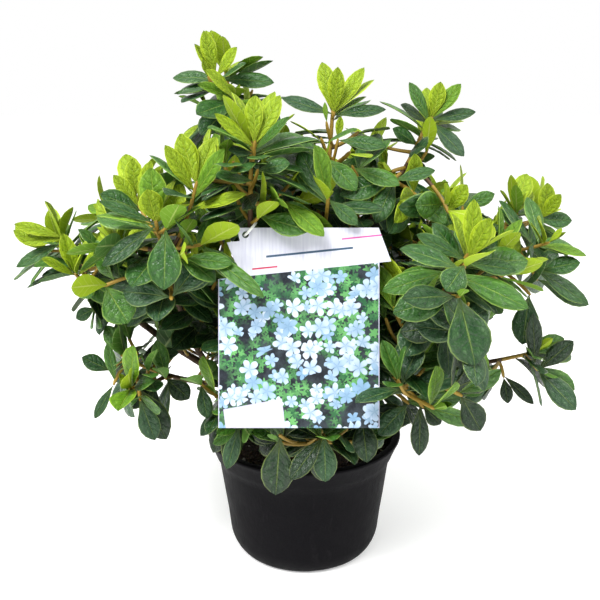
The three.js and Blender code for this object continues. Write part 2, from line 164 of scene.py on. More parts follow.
def hang_lamp(name, place, aim, size, watts):
    """A square soft lamp at a place, turned to shine at another."""
    bpy.ops.object.light_add(type="AREA", location=place)
    lamp = bpy.context.object
    lamp.name = name
    lamp.data.size, lamp.data.energy = size, watts
    down = [a - p for a, p in zip(aim, place)]
    flat = math.hypot(down[0], down[1])
    lamp.rotation_euler = (math.atan2(flat, -down[2]), 0, math.atan2(down[1], down[0]) - math.pi / 2)


hang_lamp("key_lamp", (-0.6, -0.8, 1.5), (0, 0, 0.25), 0.8, 40)
hang_lamp("side_lamp", (1.2, -0.4, 1.1), (0, 0, 0.25), 0.9, 12)

# ---- Pot ----
# A thin nursery pot of black polypropylene, moulded in one piece: a wall that widens upwards, a collar that
# flares out to the flat rim it is lifted by, a rounded foot and four shallow gaps under it for water.
MM = 0.001
POT_PROFILE = [
    (57.5, 0), (59.5, 0.5), (61.5, 2), (63.4, 4.6), (65.2, 8.2), (66.6, 12.2), (67.3, 16), (69, 33),
    (71.2, 50), (73.5, 68), (75.3, 81), (76, 83.2), (77.9, 87.8), (78.5, 88.4), (79.6, 91.4), (82.2, 98),
    (84.2, 102.8), (84.8, 103.7), (85, 104.6), (84.6, 105.7), (83.8, 106), (80, 106), (78.8, 105.6),
    (77.6, 101), (75.4, 91.4), (73.8, 82), (71.9, 68), (65.7, 16), (62.1, 6.6), (56.5, 3.2),
]
POT_SIDES = 112
FOOT_GAPS = {"count": 4, "half_width": 14.5, "height": 2.2, "first": -72, "inner_radius": 57}
SOFT_WALL = {"from": 10, "rise": 40, "to": 104, "fall": 12}


def activate(piece):
    bpy.ops.object.select_all(action="DESELECT")
    piece.select_set(True)
    bpy.context.view_layer.objects.active = piece


def turned_piece(name, profile, sides):
    """A disc pulled up ring by ring along a profile of (radius, height) in millimetres, as on a lathe."""
    bpy.ops.object.select_all(action="DESELECT")
    radius, height = profile[0]
    bpy.ops.mesh.primitive_circle_add(
        vertices=sides, radius=radius * MM, fill_type="NGON", location=(0, 0, height * MM))
    piece = bpy.context.object
    piece.name = name
    bpy.ops.object.transform_apply(location=True, rotation=True, scale=True)
    bpy.ops.object.mode_set(mode="EDIT")
    bpy.ops.mesh.select_all(action="SELECT")
    for (before, low), (after, high) in zip(profile, profile[1:]):
        bpy.ops.mesh.extrude_region_move(TRANSFORM_OT_translate={"value": (0, 0, (high - low) * MM)})
        share = after / before
        bpy.ops.transform.resize(value=(share, share, 1), center_override=(0, 0, high * MM))
    bpy.ops.mesh.select_all(action="SELECT")
    bpy.ops.mesh.normals_make_consistent(inside=False)
    bpy.ops.object.mode_set(mode="OBJECT")
    return piece


def places(piece):
    """The piece's points, in millimetres."""
    at = np.empty(len(piece.data.vertices) * 3)
    piece.data.vertices.foreach_get("co", at)
    return at.reshape(-1, 3) / MM


def set_places(piece, at):
    piece.data.vertices.foreach_set("co", (at * MM).ravel())
    piece.data.update()


def linear(*rgb):
    """A screen colour of 0 to 255 as the light that a surface sends back."""
    return tuple(((c / 255 + 0.055) / 1.055) ** 2.4 if c > 10 else c / 255 / 12.92 for c in rgb)


def bump_into(shader, height, depth):
    """Relief that the shader shows, depth metres for a height of 1."""
    bumped = height.node("Bump", {}, {"Strength": 1.0, "Distance": depth, "Height": height})
    bumped.into(shader, "Normal")


pot = turned_piece("nursery_pot", POT_PROFILE, POT_SIDES)
at = places(pot)
round_at = np.degrees(np.arctan2(at[:, 1], at[:, 0]))
reach = np.hypot(at[:, 0], at[:, 1])
for i in range(FOOT_GAPS["count"]):
    off = (round_at - FOOT_GAPS["first"] - 360 / FOOT_GAPS["count"] * i + 180) % 360 - 180
    in_gap = (np.abs(np.sin(np.radians(off)) * reach) < FOOT_GAPS["half_width"]) & (np.abs(off) < 60)
    raised = in_gap & (at[:, 2] < FOOT_GAPS["height"]) & (reach > FOOT_GAPS["inner_radius"])
    at[raised, 2] = FOOT_GAPS["height"]
# the thin wall is a little out of round between the foot and the rim
turn = np.radians(round_at)
wall = np.clip((at[:, 2] - SOFT_WALL["from"]) / SOFT_WALL["rise"], 0, 1)
wall *= np.clip((SOFT_WALL["to"] - at[:, 2]) / SOFT_WALL["fall"], 0, 1)
out_of_round = 0.35 * np.sin(2 * turn + 0.6) + 0.25 * np.sin(3 * turn + 0.05 * at[:, 2])
at[:, :2] += (wall * out_of_round / np.maximum(reach, 1))[:, None] * at[:, :2]
set_places(pot, at)
activate(pot)
bpy.ops.object.shade_smooth_by_angle(angle=math.radians(32))

black_plastic, shader, place = new_finish(
    "black_pot_plastic", linear(14, 13, 15), 0.5, Specular_IOR_Level=0.05)
grime = place.node("TexNoise", {}, {"Vector": place, "Scale": 38, "Detail": 6, "Roughness": 0.6})
drawn = place.node("Mapping", {}, {"Vector": place, "Scale": (1, 1, 0.22)})
scuffs = place.node("TexNoise", {}, {"Vector": drawn, "Scale": 210, "Detail": 4, "Distortion": 1.4})
dust = grime.between(0.5, 0.85) * scuffs.between(0.48, 0.72)
dust.tint(linear(12, 11, 14), linear(38, 36, 38)).into(shader, "Base Color")
(grime.between(0.3, 0.8) * 0.2 + 0.48 + scuffs.between(0.5, 0.8) * 0.12).into(shader, "Roughness")
pebble = place.node("TexNoise", {}, {"Vector": place, "Scale": 900, "Detail": 2})
bump_into(shader, pebble * 0.35 + scuffs * 0.5 + grime * 1.6, 0.0004)
pot.data.materials.append(black_plastic)
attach(pot, "root")
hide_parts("pot")

# ---- Compost ----
# Dark peat compost fills the pot to a finger below its rim, a little higher round the foot of the trunk. Its
# top is uneven, and dark and brown crumbs and a little white grit lie loose on it.
COMPOST_PROFILE = [
    (54, 3.5), (65, 16.5), (73.2, 82), (75.4, 92.6), (74, 93.3), (68, 93.8), (62, 94.1), (55, 94.4),
    (48, 94.6), (41, 94.8), (34, 94.9), (27, 95), (20, 95), (14, 95), (8, 95), (3, 95),
]
COMPOST_SIDES = 72
UNEVEN_TOP = {"above": 93, "radius": 74.5, "edge": 5}


def ripple(at, scale, seed):
    """A smooth uneven height from about -1 to 1 over the points, the same for the same seed."""
    draw = np.random.default_rng(seed)
    total = np.zeros(len(at))
    for i in range(7):
        direction = draw.normal(size=3)
        direction /= np.linalg.norm(direction)
        total += np.sin(at @ direction * (scale * (0.6 + 0.35 * i)) + draw.uniform(0, 6.3)) / (1 + 0.5 * i)
    return total / 2.2


compost = turned_piece("compost_fill", COMPOST_PROFILE, COMPOST_SIDES)
at = places(compost)
reach = np.hypot(at[:, 0], at[:, 1])
top = (at[:, 2] > UNEVEN_TOP["above"]) * np.clip((UNEVEN_TOP["radius"] - reach) / UNEVEN_TOP["edge"], 0, 1)
at[:, 2] += top * (0.9 * ripple(at, 0.16, 3) + 0.5 * ripple(at, 0.7, 4) - 0.7)
set_places(compost, at)
activate(compost)
bpy.ops.object.shade_smooth_by_angle(angle=math.radians(60))
peat, shader, place = new_finish("peat_compost", linear(46, 34, 26), 0.95)
crumble = place.node("TexNoise", {}, {"Vector": place, "Scale": 260, "Detail": 8, "Roughness": 0.7})
fibre = place.node("TexVoronoi", {}, {"Vector": place, "Scale": 420})
crumble.between(0.35, 0.7).tint(linear(24, 17, 14), linear(78, 58, 43)).into(shader, "Base Color")
bump_into(shader, crumble * 1.2 + fibre, 0.0012)
compost.data.materials.append(peat)
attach(compost, "root")
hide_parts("compost")


def joined_piece(name, points, faces, finishes, kinds=None):
    """One mesh of many small things from arrays: points in millimetres and faces of three or four points."""
    mesh = bpy.data.meshes.new(name)
    mesh.from_pydata((points * MM).tolist(), [], faces)
    for finish in finishes:
        mesh.materials.append(finish)
    if kinds is not None:
        mesh.polygons.foreach_set("material_index", kinds)
    mesh.polygons.foreach_set("use_smooth", [True] * len(mesh.polygons))
    mesh.update()
    piece = bpy.data.objects.new(name, mesh)
    bpy.context.scene.collection.objects.link(piece)
    return piece


CRUMBS = {"count": 900, "reach": 73, "bed": 94.6, "bed_slope": 0.012, "grit_every": 23}
CRUMB_KINDS = (("dark", (36, 26, 21), 0.95), ("brown", (70, 50, 36), 0.95), ("grit", (188, 184, 172), 0.8))
LUMP = np.array([(0, 0, 1), (0.9, 0, 0.35), (0.25, 0.85, 0.4), (-0.75, 0.5, 0.4), (-0.75, -0.5, 0.4),
                 (0.25, -0.85, 0.4), (0.75, 0.5, -0.4), (-0.25, 0.85, -0.4), (-0.9, 0, -0.4),
                 (-0.25, -0.85, -0.4), (0.75, -0.5, -0.4), (0, 0, -0.9)])
LUMP_FACES = []
for i in range(5):
    j = (i + 1) % 5
    LUMP_FACES += [(0, 1 + i, 1 + j), (1 + i, 6 + i, 1 + j), (6 + i, 6 + j, 1 + j), (11, 6 + j, 6 + i)]
draw = np.random.default_rng(11)
points, faces, kinds = [], [], []
for i in range(CRUMBS["count"]):
    turn, away = draw.uniform(0, 2 * math.pi), CRUMBS["reach"] * math.sqrt(draw.uniform(0.02, 1))
    size = draw.uniform(0.5, 1.9) * np.array([draw.uniform(0.8, 2.0), 1, draw.uniform(0.5, 0.8)])
    c, s = math.cos(3 * turn), math.sin(3 * turn)
    lump = LUMP * size * draw.uniform(0.8, 1.2, (len(LUMP), 1))
    lump = lump @ np.array([(c, s, 0), (-s, c, 0), (0, 0, 1)])
    faces += [tuple(p + len(points) * len(LUMP) for p in face) for face in LUMP_FACES]
    kinds += [2 if i % CRUMBS["grit_every"] == 0 else i % 2] * len(LUMP_FACES)
    bed = CRUMBS["bed"] - CRUMBS["bed_slope"] * away
    points.append(lump + (away * math.cos(turn), away * math.sin(turn), bed))
crumb_finishes = [new_finish(f"crumb_{kind}", linear(*color), rough)[0]
                  for kind, color, rough in CRUMB_KINDS]
crumbs = joined_piece("compost_crumbs", np.concatenate(points), faces, crumb_finishes, kinds)
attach(crumbs, "root")

# ---- Trunk and boughs ----
# A short woody trunk stands in the compost and parts at once into boughs as thick as a pencil, which bend
# outwards and then up, with a collar at each fork. The bark is thin, grey brown and ridged lengthwise.
COMPOST_TOP, FOOT_ABOVE = 95.0, 0.3
TRUNK = {"radius": 7.5, "flare": 5.0, "flare_height": 0.22, "height": 44.0, "lean": (-4.0, 5.0)}
MAIN_BOUGH, SIDE_BOUGH = (4.2, 2.5), (2.7, 2.1)
STEM_LENGTH, STEM_SHARE = 78.0, 0.5
# the trunk's solid starts just above the compost, and the bark's foot goes down into it
ROOT_DEPTH = 1.2
BOUGH_WOOD = {"step": 3.2, "collar": 1.0, "collar_length": 6, "swell": 0.22, "swell_every": 2.1}

# The crown's own table: each mass of foliage hangs on one bough, which leaves the trunk or another bough at
# a share of its length, and whose leader ends at a heading, reach and height. Its side shoots stand round
# the leader's tip, a spread away and a drop below it, the first at a turn and each next one a fan further.
USUAL = {"on": "trunk", "out": 0.6, "spread": 42, "drop": 16, "side": 4, "fan": 120}
CROWN = [
    dict(name="left_tip", at=0.66, heading=183, reach=203, height=275,
         turn=345, fan=-45, spread=54, drop=8, side=2),
    dict(name="front_left", at=0.4, heading=243, reach=83, height=360, out=1.3,
         turn=180, fan=-150, spread=38, drop=26, side=2),
    dict(name="top_middle", at=0.98, heading=310, reach=33, height=382,
         turn=40, fan=-104, spread=30, side=3),
    dict(name="right_front", at=0.6, heading=317, reach=154, height=286,
         turn=33, spread=40, drop=20, side=3),
    dict(name="right_high", at=0.78, heading=353, reach=170, height=306,
         turn=48, fan=-112, spread=38, drop=12, side=3),
    dict(name="back_right", at=0.55, heading=38, reach=168, height=292),
    dict(name="back_middle", at=0.72, heading=92, reach=168, height=268),
    dict(name="low_front", at=0.2, heading=277, reach=106, height=147,
         turn=0, fan=180, spread=32, drop=2, side=2),
    dict(name="left_front", on="left_tip", at=0.5, heading=222, reach=142, height=311,
         turn=154, fan=-110, spread=38, drop=22, side=3),
    dict(name="low_left", on="left_tip", at=0.3, heading=202, reach=156, height=195,
         turn=50, fan=-60, spread=46, drop=4, side=3),
    dict(name="low_left_front", on="front_left", at=0.2, heading=226, reach=101, height=166,
         turn=335, spread=26, drop=22, side=1),
    dict(name="top_left", on="top_middle", at=0.4, heading=150, reach=77, height=413,
         turn=290, fan=-60, spread=34, drop=22, side=3),
    dict(name="top_right", on="top_middle", at=0.7, heading=351, reach=98, height=375,
         turn=170, fan=40, spread=35, drop=22, side=3),
    dict(name="low_right_front", on="right_front", at=0.25, heading=307, reach=124, height=202,
         turn=67, fan=-130, spread=34, drop=12, side=2),
    dict(name="low_right", on="right_high", at=0.35, heading=343, reach=190, height=197,
         turn=218, fan=-62, spread=56, drop=6, side=2),
    dict(name="back_right_high", on="back_right", at=0.55, heading=55, reach=102, height=338),
    dict(name="low_back_right", on="back_right", at=0.3, heading=20, reach=160, height=190, drop=4),
    dict(name="back_left_high", on="back_middle", at=0.6, heading=118, reach=106, height=338),
    dict(name="low_back", on="back_middle", at=0.25, heading=78, reach=158, height=186, drop=4),
    dict(name="back_left", on="left_tip", at=0.7, heading=146, reach=178, height=300),
    dict(name="low_back_left", on="back_middle", at=0.42, heading=134, reach=162, height=188, drop=4),
]


def polar(heading, reach, height):
    turn = math.radians(heading)
    return np.array([reach * math.cos(turn), reach * math.sin(turn), height])


class Bend:
    """The line that a branch grows along; a place on it is the share of its length that lies behind."""

    SHARES = np.linspace(0, 1, 201)

    def __init__(self, start, middle, end):
        self.start, self.middle, self.end = (np.array(p, float) for p in (start, middle, end))
        steps = np.linalg.norm(np.diff(self.spot(self.SHARES), axis=0), axis=1)
        self.run = np.concatenate([[0], np.cumsum(steps)])
        self.length = self.run[-1]

    def spot(self, t):
        t = np.asarray(t, float)[..., None]
        return (1 - t) ** 2 * self.start + 2 * t * (1 - t) * self.middle + t * t * self.end

    def share(self, along):
        return np.interp(np.asarray(along) * self.length, self.run, self.SHARES)

    def point(self, along):
        return self.spot(self.share(along))

    def direction(self, along):
        t = self.share(along)[..., None]
        way = 2 * (1 - t) * (self.middle - self.start) + 2 * t * (self.end - self.middle)
        return way / np.linalg.norm(way, axis=-1, keepdims=True)


def branch(start, end, out=USUAL["out"]):
    """A branch bends outwards first and upwards at its end."""
    middle = start + (end - start) * (out, out, 0.3)
    return Bend(start, middle, end)


trunk_line = Bend((0, 0, COMPOST_TOP + FOOT_ABOVE), (0, 0, COMPOST_TOP + TRUNK["height"] * 0.6),
                  (*TRUNK["lean"], COMPOST_TOP + TRUNK["height"]))
masses = {}
for index, row in enumerate(CROWN):
    mass = {**USUAL, "turn": row["heading"] + 60, **row, "index": index}
    parent = masses.get(mass["on"], {"line": trunk_line, "end": 1.0})
    start = parent["line"].point(mass["at"] * parent["end"])
    line = branch(start, polar(mass["heading"], mass["reach"], mass["height"]), mass["out"])
    mass["line"], mass["end"] = line, 1 - min(STEM_LENGTH, STEM_SHARE * line.length) / line.length
    mass["size"] = MAIN_BOUGH if mass["on"] == "trunk" else SIDE_BOUGH
    masses[mass["name"]] = mass


def rods(name, lines, corners, finish):
    """Round rods along lines of points with a radius at each, as one mesh with closed ends."""
    curve = bpy.data.curves.new(name, "CURVE")
    curve.dimensions, curve.bevel_depth, curve.use_fill_caps = "3D", MM, True
    curve.bevel_resolution = (corners - 4) // 2
    for points, radii in lines:
        spline = curve.splines.new("POLY")
        spline.points.add(len(points) - 1)
        spline.points.foreach_set("co", np.column_stack([points * MM, np.ones(len(points))]).ravel())
        spline.points.foreach_set("radius", radii)
    rod = bpy.data.objects.new(name, curve)
    bpy.context.scene.collection.objects.link(rod)
    activate(rod)
    bpy.ops.object.convert(target="MESH")
    rod = bpy.context.object
    bpy.ops.object.mode_set(mode="EDIT")
    bpy.ops.mesh.select_all(action="SELECT")
    bpy.ops.mesh.normals_make_consistent(inside=False)
    bpy.ops.object.mode_set(mode="OBJECT")
    bpy.ops.object.shade_smooth()
    rod.data.materials.clear()
    rod.data.materials.append(finish)
    return rod


def trunk_radius(along):
    return TRUNK["radius"] * (1 - 0.25 * along) + TRUNK["flare"] * np.exp(-along / TRUNK["flare_height"])


bark, shader, place = new_finish("grey_brown_bark", linear(98, 74, 54), 0.85)
streak = place.node("Mapping", {}, {"Vector": place, "Scale": (1, 1, 0.25)})
ridges = place.node("TexNoise", {}, {"Vector": streak, "Scale": 520, "Detail": 5, "Roughness": 0.6})
patches = place.node("TexNoise", {}, {"Vector": place, "Scale": 70, "Detail": 3})
worn = patches.between(0.4, 0.65).tint(linear(84, 60, 42), linear(128, 104, 80))
ridges.between(0.36, 0.6).tint(linear(46, 33, 25), worn).into(shader, "Base Color")
bump_into(shader, ridges + patches * 0.4, 0.0009)

along = np.linspace(0, 1, 30)
trunk_points = trunk_line.point(along)
trunk_points[0, 2] -= ROOT_DEPTH
trunk = rods("bark_trunk", [(trunk_points, trunk_radius(along))], 28, bark)
at = places(trunk)
ridge = np.sin(7 * np.arctan2(at[:, 1], at[:, 0]) + 0.06 * at[:, 2]) * 0.25 + 0.3 * ripple(at, 0.5, 21)
in_air = at[:, 2] > COMPOST_TOP + 0.5
at[:, :2] *= 1 + ((ridge + 0.25 * ripple(at, 1.4, 22)) / 8)[:, None] * in_air[:, None]
set_places(trunk, at)
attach(trunk, "root")
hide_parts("trunk")

bough_lines = []
for mass in masses.values():
    length = mass["line"].length
    along = np.linspace(0, mass["end"], max(8, int(length * mass["end"] / BOUGH_WOOD["step"])))
    thick, thin = mass["size"]
    radius = thick + (thin - thick) * (along / mass["end"])
    collar = BOUGH_WOOD["collar"] * np.exp(-along * length / BOUGH_WOOD["collar_length"])
    wave = np.cos(along * length / BOUGH_WOOD["swell_every"] + mass["index"])
    swell = BOUGH_WOOD["swell"] * np.maximum(0, wave) ** 3
    bough_lines.append((mass["line"].point(along), radius + collar + swell))
boughs = rods("bark_boughs", bough_lines, 12, bark)
at = places(boughs)
normals = np.empty(len(at) * 3)
boughs.data.vertices.foreach_get("normal", normals)
at += normals.reshape(-1, 3) * (0.2 * ripple(at, 0.8, 23) + 0.12 * ripple(at, 2.4, 24))[:, None]
set_places(boughs, at)
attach(boughs, "root")
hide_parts(*(f"bough_{name}" for name in masses))

# ---- Shoots ----
# Each bough ends in a stem with side shoots round it, and these and the bough carry short spurs. Here is
# only where they grow: their wood is made further down, when it is known which of them have leaves.
SHOOT_FOOT, SHOOT_TIP = 1.75, 1.35
SIDE_FROM, SIDE_STEP, DROP_STEP = 0.62, 0.18, 0.8
# how far shoots and leaves keep from what stands in their way
ROOM = {"pot": 2, "card": 4, "loop": 3, "limb": 1, "spur": 5}
RIM_RADIUS, POT_HEIGHT = (max(sizes) for sizes in zip(*POT_PROFILE))
# the card's and its loop's sizes and places, which the shoots grow round
CARD = {"width": 115.0, "lean": 15.0, "foot": (-4.7, -121.0, 162.0), "top": 143.0, "right": 123.5,
        "hole": (19.4, 138.0)}
LOOP = {"radius": 6.4, "thickness": 0.8, "tilt": 48, "beside": (3.0, 4.6, 3.3)}
lean = math.radians(CARD["lean"])
card_across = np.array([1.0, 0, 0])
card_up = np.array([0, math.sin(lean), math.cos(lean)])
card_out = np.cross(card_across, card_up)
card_corner = np.array(CARD["foot"]) - card_across * CARD["width"] / 2
loop_centre = (card_corner + card_across * CARD["hole"][0] + card_up * CARD["hole"][1]
               + np.array(LOOP["beside"]))


def chance(mass, shoot, leaf, question):
    """A number from 0 to 1, always the same for one mass, shoot, leaf and question, each by its number."""
    mixed = math.sin(mass * 12.9898 + shoot * 78.233 + leaf * 37.719 + question * 9.151) * 43758.5453
    return mixed - math.floor(mixed)


def over_pot(p):
    above = p[..., 2] > POT_HEIGHT + ROOM["pot"]
    return above | (np.hypot(p[..., 0], p[..., 1]) > RIM_RADIUS + ROOM["pot"])


def clear_of_card(p):
    """Whether points keep clear of the card, in front of it, behind it or beside it, and of its loop."""
    local, room = p - card_corner, ROOM["card"]
    x, y, z = local @ card_across, local @ card_up, local @ card_out
    beside = (x < -room) | (x > CARD["right"] + room) | (y < -room) | (y > CARD["top"] + room)
    off_loop = np.linalg.norm(p - loop_centre, axis=-1) > LOOP["radius"] + ROOM["loop"]
    return (beside | (np.abs(z) > room)) & off_loop


wood_at, wood_radius, wood_owner = np.zeros((0, 3)), np.zeros(0), np.zeros(0, int)


def add_wood(points, radii, owner):
    """Notes the wood that is there so far, with the number of its shoot, or -1 for trunk and boughs."""
    global wood_at, wood_radius, wood_owner
    wood_at = np.concatenate([wood_at, points])
    wood_radius = np.concatenate([wood_radius, radii])
    wood_owner = np.concatenate([wood_owner, np.full(len(points), owner)])


def trace(line, start, end):
    """Points on a line, 3 millimetres apart or closer, and how far along the stretch each is."""
    count = max(2, math.ceil((end - start) * line.length / 3))
    share = np.linspace(0, 1, count + 1)
    return line.point(start + (end - start) * share), share


points, share = trace(trunk_line, 0, 1)
add_wood(points, trunk_radius(share), -1)
for mass in masses.values():
    points, share = trace(mass["line"], 0, mass["end"])
    add_wood(points, mass["size"][0] + (mass["size"][1] - mass["size"][0]) * share, -1)

shoots = []


def add_shoot(mass, line, start, foot, key, order):
    """A shoot is kept as its line, where it starts on it, its foot radius and what its leaves go by."""
    shoot = {"mass": mass, "line": line, "start": start, "foot": foot, "key": key, "order": order,
             "id": len(shoots)}
    points, share = trace(line, start, 1)
    add_wood(points, foot + (SHOOT_TIP - foot) * share, shoot["id"])
    shoots.append(shoot)
    return shoot


def room_for(points, radius, mass_index):
    """Whether a twig keeps clear of every limb but those of its own mass, of the pot and of the card."""
    other = np.array([i < 0 or shoots[i]["mass"]["index"] != mass_index for i in wood_owner])
    gaps = np.linalg.norm(points[:, None] - wood_at[other][None], axis=2) - wood_radius[other] - radius
    return gaps.min() > ROOM["limb"] and over_pot(points).all() and clear_of_card(points).all()


for mass in masses.values():
    add_shoot(mass, mass["line"], mass["end"], mass["size"][1], 0, 0)
for mass in masses.values():
    for k in range(1, mass["side"] + 1):
        leave = mass["end"] + (1 - mass["end"]) * (SIDE_FROM - SIDE_STEP * (k - 1))
        down = -mass["drop"] * (1 + DROP_STEP * (k - 1))
        tip = mass["line"].point(1.0) + polar(mass["turn"] + mass["fan"] * (k - 1), mass["spread"], down)
        line = branch(mass["line"].point(leave), tip)
        points, _ = trace(line, 0, 1)
        if room_for(points, SHOOT_FOOT, mass["index"]):
            add_shoot(mass, line, 0, SHOOT_FOOT, k, 1)

# finer twigs: short spurs low on every shoot, and on the outer two thirds of every bough
SPUR = {"out": 17.0, "up": 17.0, "onward": 6, "foot": 1.3, "places": (0.5, 0.28, 0.1), "below_tip": 24}
BOUGH_SPURS = {"count": 9, "first": 0.97, "step": 0.085, "scale": 1.35}
# the numbers that the rule knows a mass's twigs by, besides 0 for its leader and 1 to 4 for its side shoots
FIRST_KEY = {"spur": 20, "bough_spur": 60, "spray": 80}
# sprays that the photo shows over the pot's rim and the card, in the front whorls and at the crown's edge:
# the mass each stands on and at what share of its leader's line, the tip of its twig, and for every leaf on
# it the place of its tip and its width, which is less than 0 for a young leaf
SPRAYS = [
    ("low_front", 0.62, (-19, -113, 153), (-22, -120, 107, 24)),
    ("low_front", 0.86, (14, -106, 150), (15, -116, 116, 18), (-11, -112, 124, 15)),
    ("low_right_front", 0.5, (42, -98, 161), (45, -112, 134, 19)),
    ("low_left_front", 0.66, (-50, -86, 149), (-60, -98, 117, 13)),
    ("low_right_front", 0.68, (78, -92, 168), (54, -107, 150, 17)),
    ("front_left", 0.79, (-33, -86, 309), (2, -98, 301, 20)),
    ("front_left", 0.84, (-16, -82, 320), (13, -95, 298, 15)),
    ("left_front", 0.84, (-72, -98, 291), (-45, -108, 268, 14), (-28, -108, 262, 12)),
    ("left_front", 0.92, (-95, -108, 304), (-97, -119, 263, 24)),
    ("left_front", 0.9, (-127, -55, 320), (-127, -58, 347, -13), (-112, -58, 346, -12),
     (-140, -63, 336, -11), (-147, -68, 324, 17)),
    ("left_tip", 0.94, (-196, -20, 283), (-230, -28, 295, -11), (-225, -28, 281, -11), (-233, -28, 260, 13)),
    ("low_left", 0.9, (-124, -90, 170), (-113, -98, 141, 16)),
    ("low_left", 0.95, (-153, -60, 182), (-172, -68, 197, 13)),
    ("top_left", 0.94, (-73, 20, 409), (-80, 12, 442, -13), (-55, 12, 430, -13), (-25, 12, 404, 16)),
    ("top_middle", 0.97, (22, -28, 380), (13, -22, 417, -15), (24, -36, 412, -13), (44, -26, 413, -13),
     (-17, -32, 391, 14), (61, -32, 383, 13)),
    ("top_middle", 0.8, (25, -34, 360), (61, -44, 356, 15)),
    ("top_right", 0.94, (99, -17, 376), (103, -23, 402, -13), (118, -23, 401, -13), (131, -23, 381, 12),
     (125, -23, 347, 16), (80, -23, 402, -12), (73, -32, 386, 12)),
    ("top_right", 0.75, (107, -60, 307), (117, -68, 329, -14), (103, -68, 330, -13)),
    ("right_high", 0.93, (196, -10, 297), (193, -18, 325, -14), (201, -18, 317, -12), (215, -18, 296, 15)),
    ("right_high", 0.85, (182, -48, 260), (209, -58, 270, 16), (221, -50, 236, 16)),
    ("right_front", 0.85, (98, -150, 267), (110, -150, 222, 29)),
    ("right_front", 0.88, (101, -148, 288), (88, -156, 272, 18)),
    ("right_front", 0.93, (112, -112, 285), (113, -112, 324, -13), (120, -120, 313, -14),
     (75, -118, 302, 12), (145, -112, 276, 13)),
    ("right_front", 0.9, (100, -110, 275), (52, -122, 264, 17), (152, -125, 253, 20)),
    ("right_high", 0.8, (178, -44, 240), (172, -54, 202, 22)),
    ("right_high", 0.9, (185, -36, 250), (226, -44, 233, 17)),
    ("low_right", 0.93, (184, -58, 182), (210, -58, 207, 15), (214, -70, 154, 20), (175, -58, 230, 14)),
    ("low_right_front", 0.9, (111, -120, 186), (124, -128, 163, 20)),
    ("low_right", 0.8, (160, -50, 173), (163, -58, 154, 11), (183, -54, 155, 10)),
    ("low_right_front", 0.8, (87, -104, 170), (99, -110, 160, 13), (84, -112, 135, 14)),
    ("right_high", 0.7, (128, -10, 306), (152, -14, 317, 13)),
    ("low_left", 0.6, (-109, -66, 179), (-90, -72, 164, 16)),
    ("low_left", 0.93, (-150, -66, 173), (-166, -72, 147, 9), (-152, -70, 208, -9)),
    ("left_front", 0.8, (-75, -92, 334), (-86, -90, 366, -16), (-94, -94, 359, -12), (-56, -94, 357, -13),
     (-41, -106, 328, -11)),
    ("left_front", 0.93, (-103, -102, 308), (-105, -102, 344, -19), (-106, -112, 330, -17),
     (-140, -106, 323, 9), (-139, -116, 280, 15)),
    ("left_front", 0.86, (-85, -106, 283), (-50, -114, 281, 13)),
    ("front_left", 0.93, (-35, -84, 361), (-36, -84, 391, -13), (-18, -80, 392, -14), (-61, -92, 380, -10),
     (-12, -90, 378, -9), (-52, -96, 356, 9)),
    ("front_left", 0.88, (-33, -92, 342), (-11, -100, 347, 14)),
    ("top_middle", 0.7, (15, -54, 349), (38, -64, 325, 18)),
    ("top_middle", 0.6, (16, -84, 322), (37, -92, 304, 12)),
    ("top_right", 0.5, (35, -48, 341), (68, -56, 330, 16)),
    ("top_right", 0.7, (64, -62, 331), (94, -66, 340, 12)),
    ("top_right", 0.8, (90, -14, 354), (69, -16, 368, 14)),
    ("left_front", 0.75, (-144, -96, 260), (-126, -104, 235, 25)),
    ("left_tip", 0.97, (-213, -14, 270), (-235, -18, 288, -11)),
    ("left_tip", 0.8, (-171, -26, 224), (-187, -30, 217, 12)),
    ("low_left_front", 0.5, (-80, -84, 182), (-74, -90, 155, 12)),
]
# where the photo shows sky, or the pot's rim, through or beside the leaves, in the upright plane through the
# pot's axis: how far right, how high and how wide. The rule puts no leaf in the camera's line through them.
SKY = [
    (171, 194, 15), (173, 177, 13), (-103, 165, 11), (-104, 120, 15), (174, 127, 15), (-212, 224, 15),
    (-156, 104, 9), (-183, 144, 13), (-99, 373, 9), (-139, 194, 8), (7, 373, 9), (36, 372, 5), (50, 371, 5),
    (29, 351, 7), (75, 342, 8), (-15, 382, 5), (110, 335, 9), (209, 221, 9), (-181, 181, 9), (113, 93, 7),
    (138, 97, 9), (-180, 314, 8), (-172, 115, 8), (140, 326, 7), (196, 141, 8), (-34, 399, 7), (224, 280, 6),
    (-190, 205, 6), (216, 203, 6), (115, 358, 5), (216, 307, 5), (-116, 361, 5), (-92, 416, 5),
    (153, 301, 5), (56, 55, 7), (-49, 72, 6), (-48, 56, 5), (-1, 50, 8), (37, 56, 7), (42, 36, 8),
    (74, 76, 6), (83, 59, 8), (30, 76, 4), (-49, 88, 4), (-113, 356, 4), (-92, 380, 4),
]
# places inside the crown that the photo shows dark, and their width: the rule puts no leaf in front of them
INSIDE = [
    (-93, -125, 254, 9), (-103, -118, 242, 7), (-78, -95, 248, 8), (-94, -95, 224, 6), (-113, -95, 230, 5),
    (-73, -95, 227, 8),
]
open_views = []


def keep_open(points, widths, goes_on):
    """Adds lines of sight from the camera to points: direction, reach, width there and where each ends."""
    way = np.array(points, float) - CAMERA_PLACE
    reach = np.linalg.norm(way, axis=1)
    new = [way / reach[:, None], reach, np.array(widths, float), reach + goes_on]
    open_views[:] = [np.concatenate(both) for both in zip(open_views, new)] if open_views else new


FAR_BEHIND = 1000
keep_open([(x, 0, z) for x, z, _ in SKY], [width for _, _, width in SKY], FAR_BEHIND)
keep_open([place for *place, _ in INSIDE], [width for *_, width in INSIDE], 0)


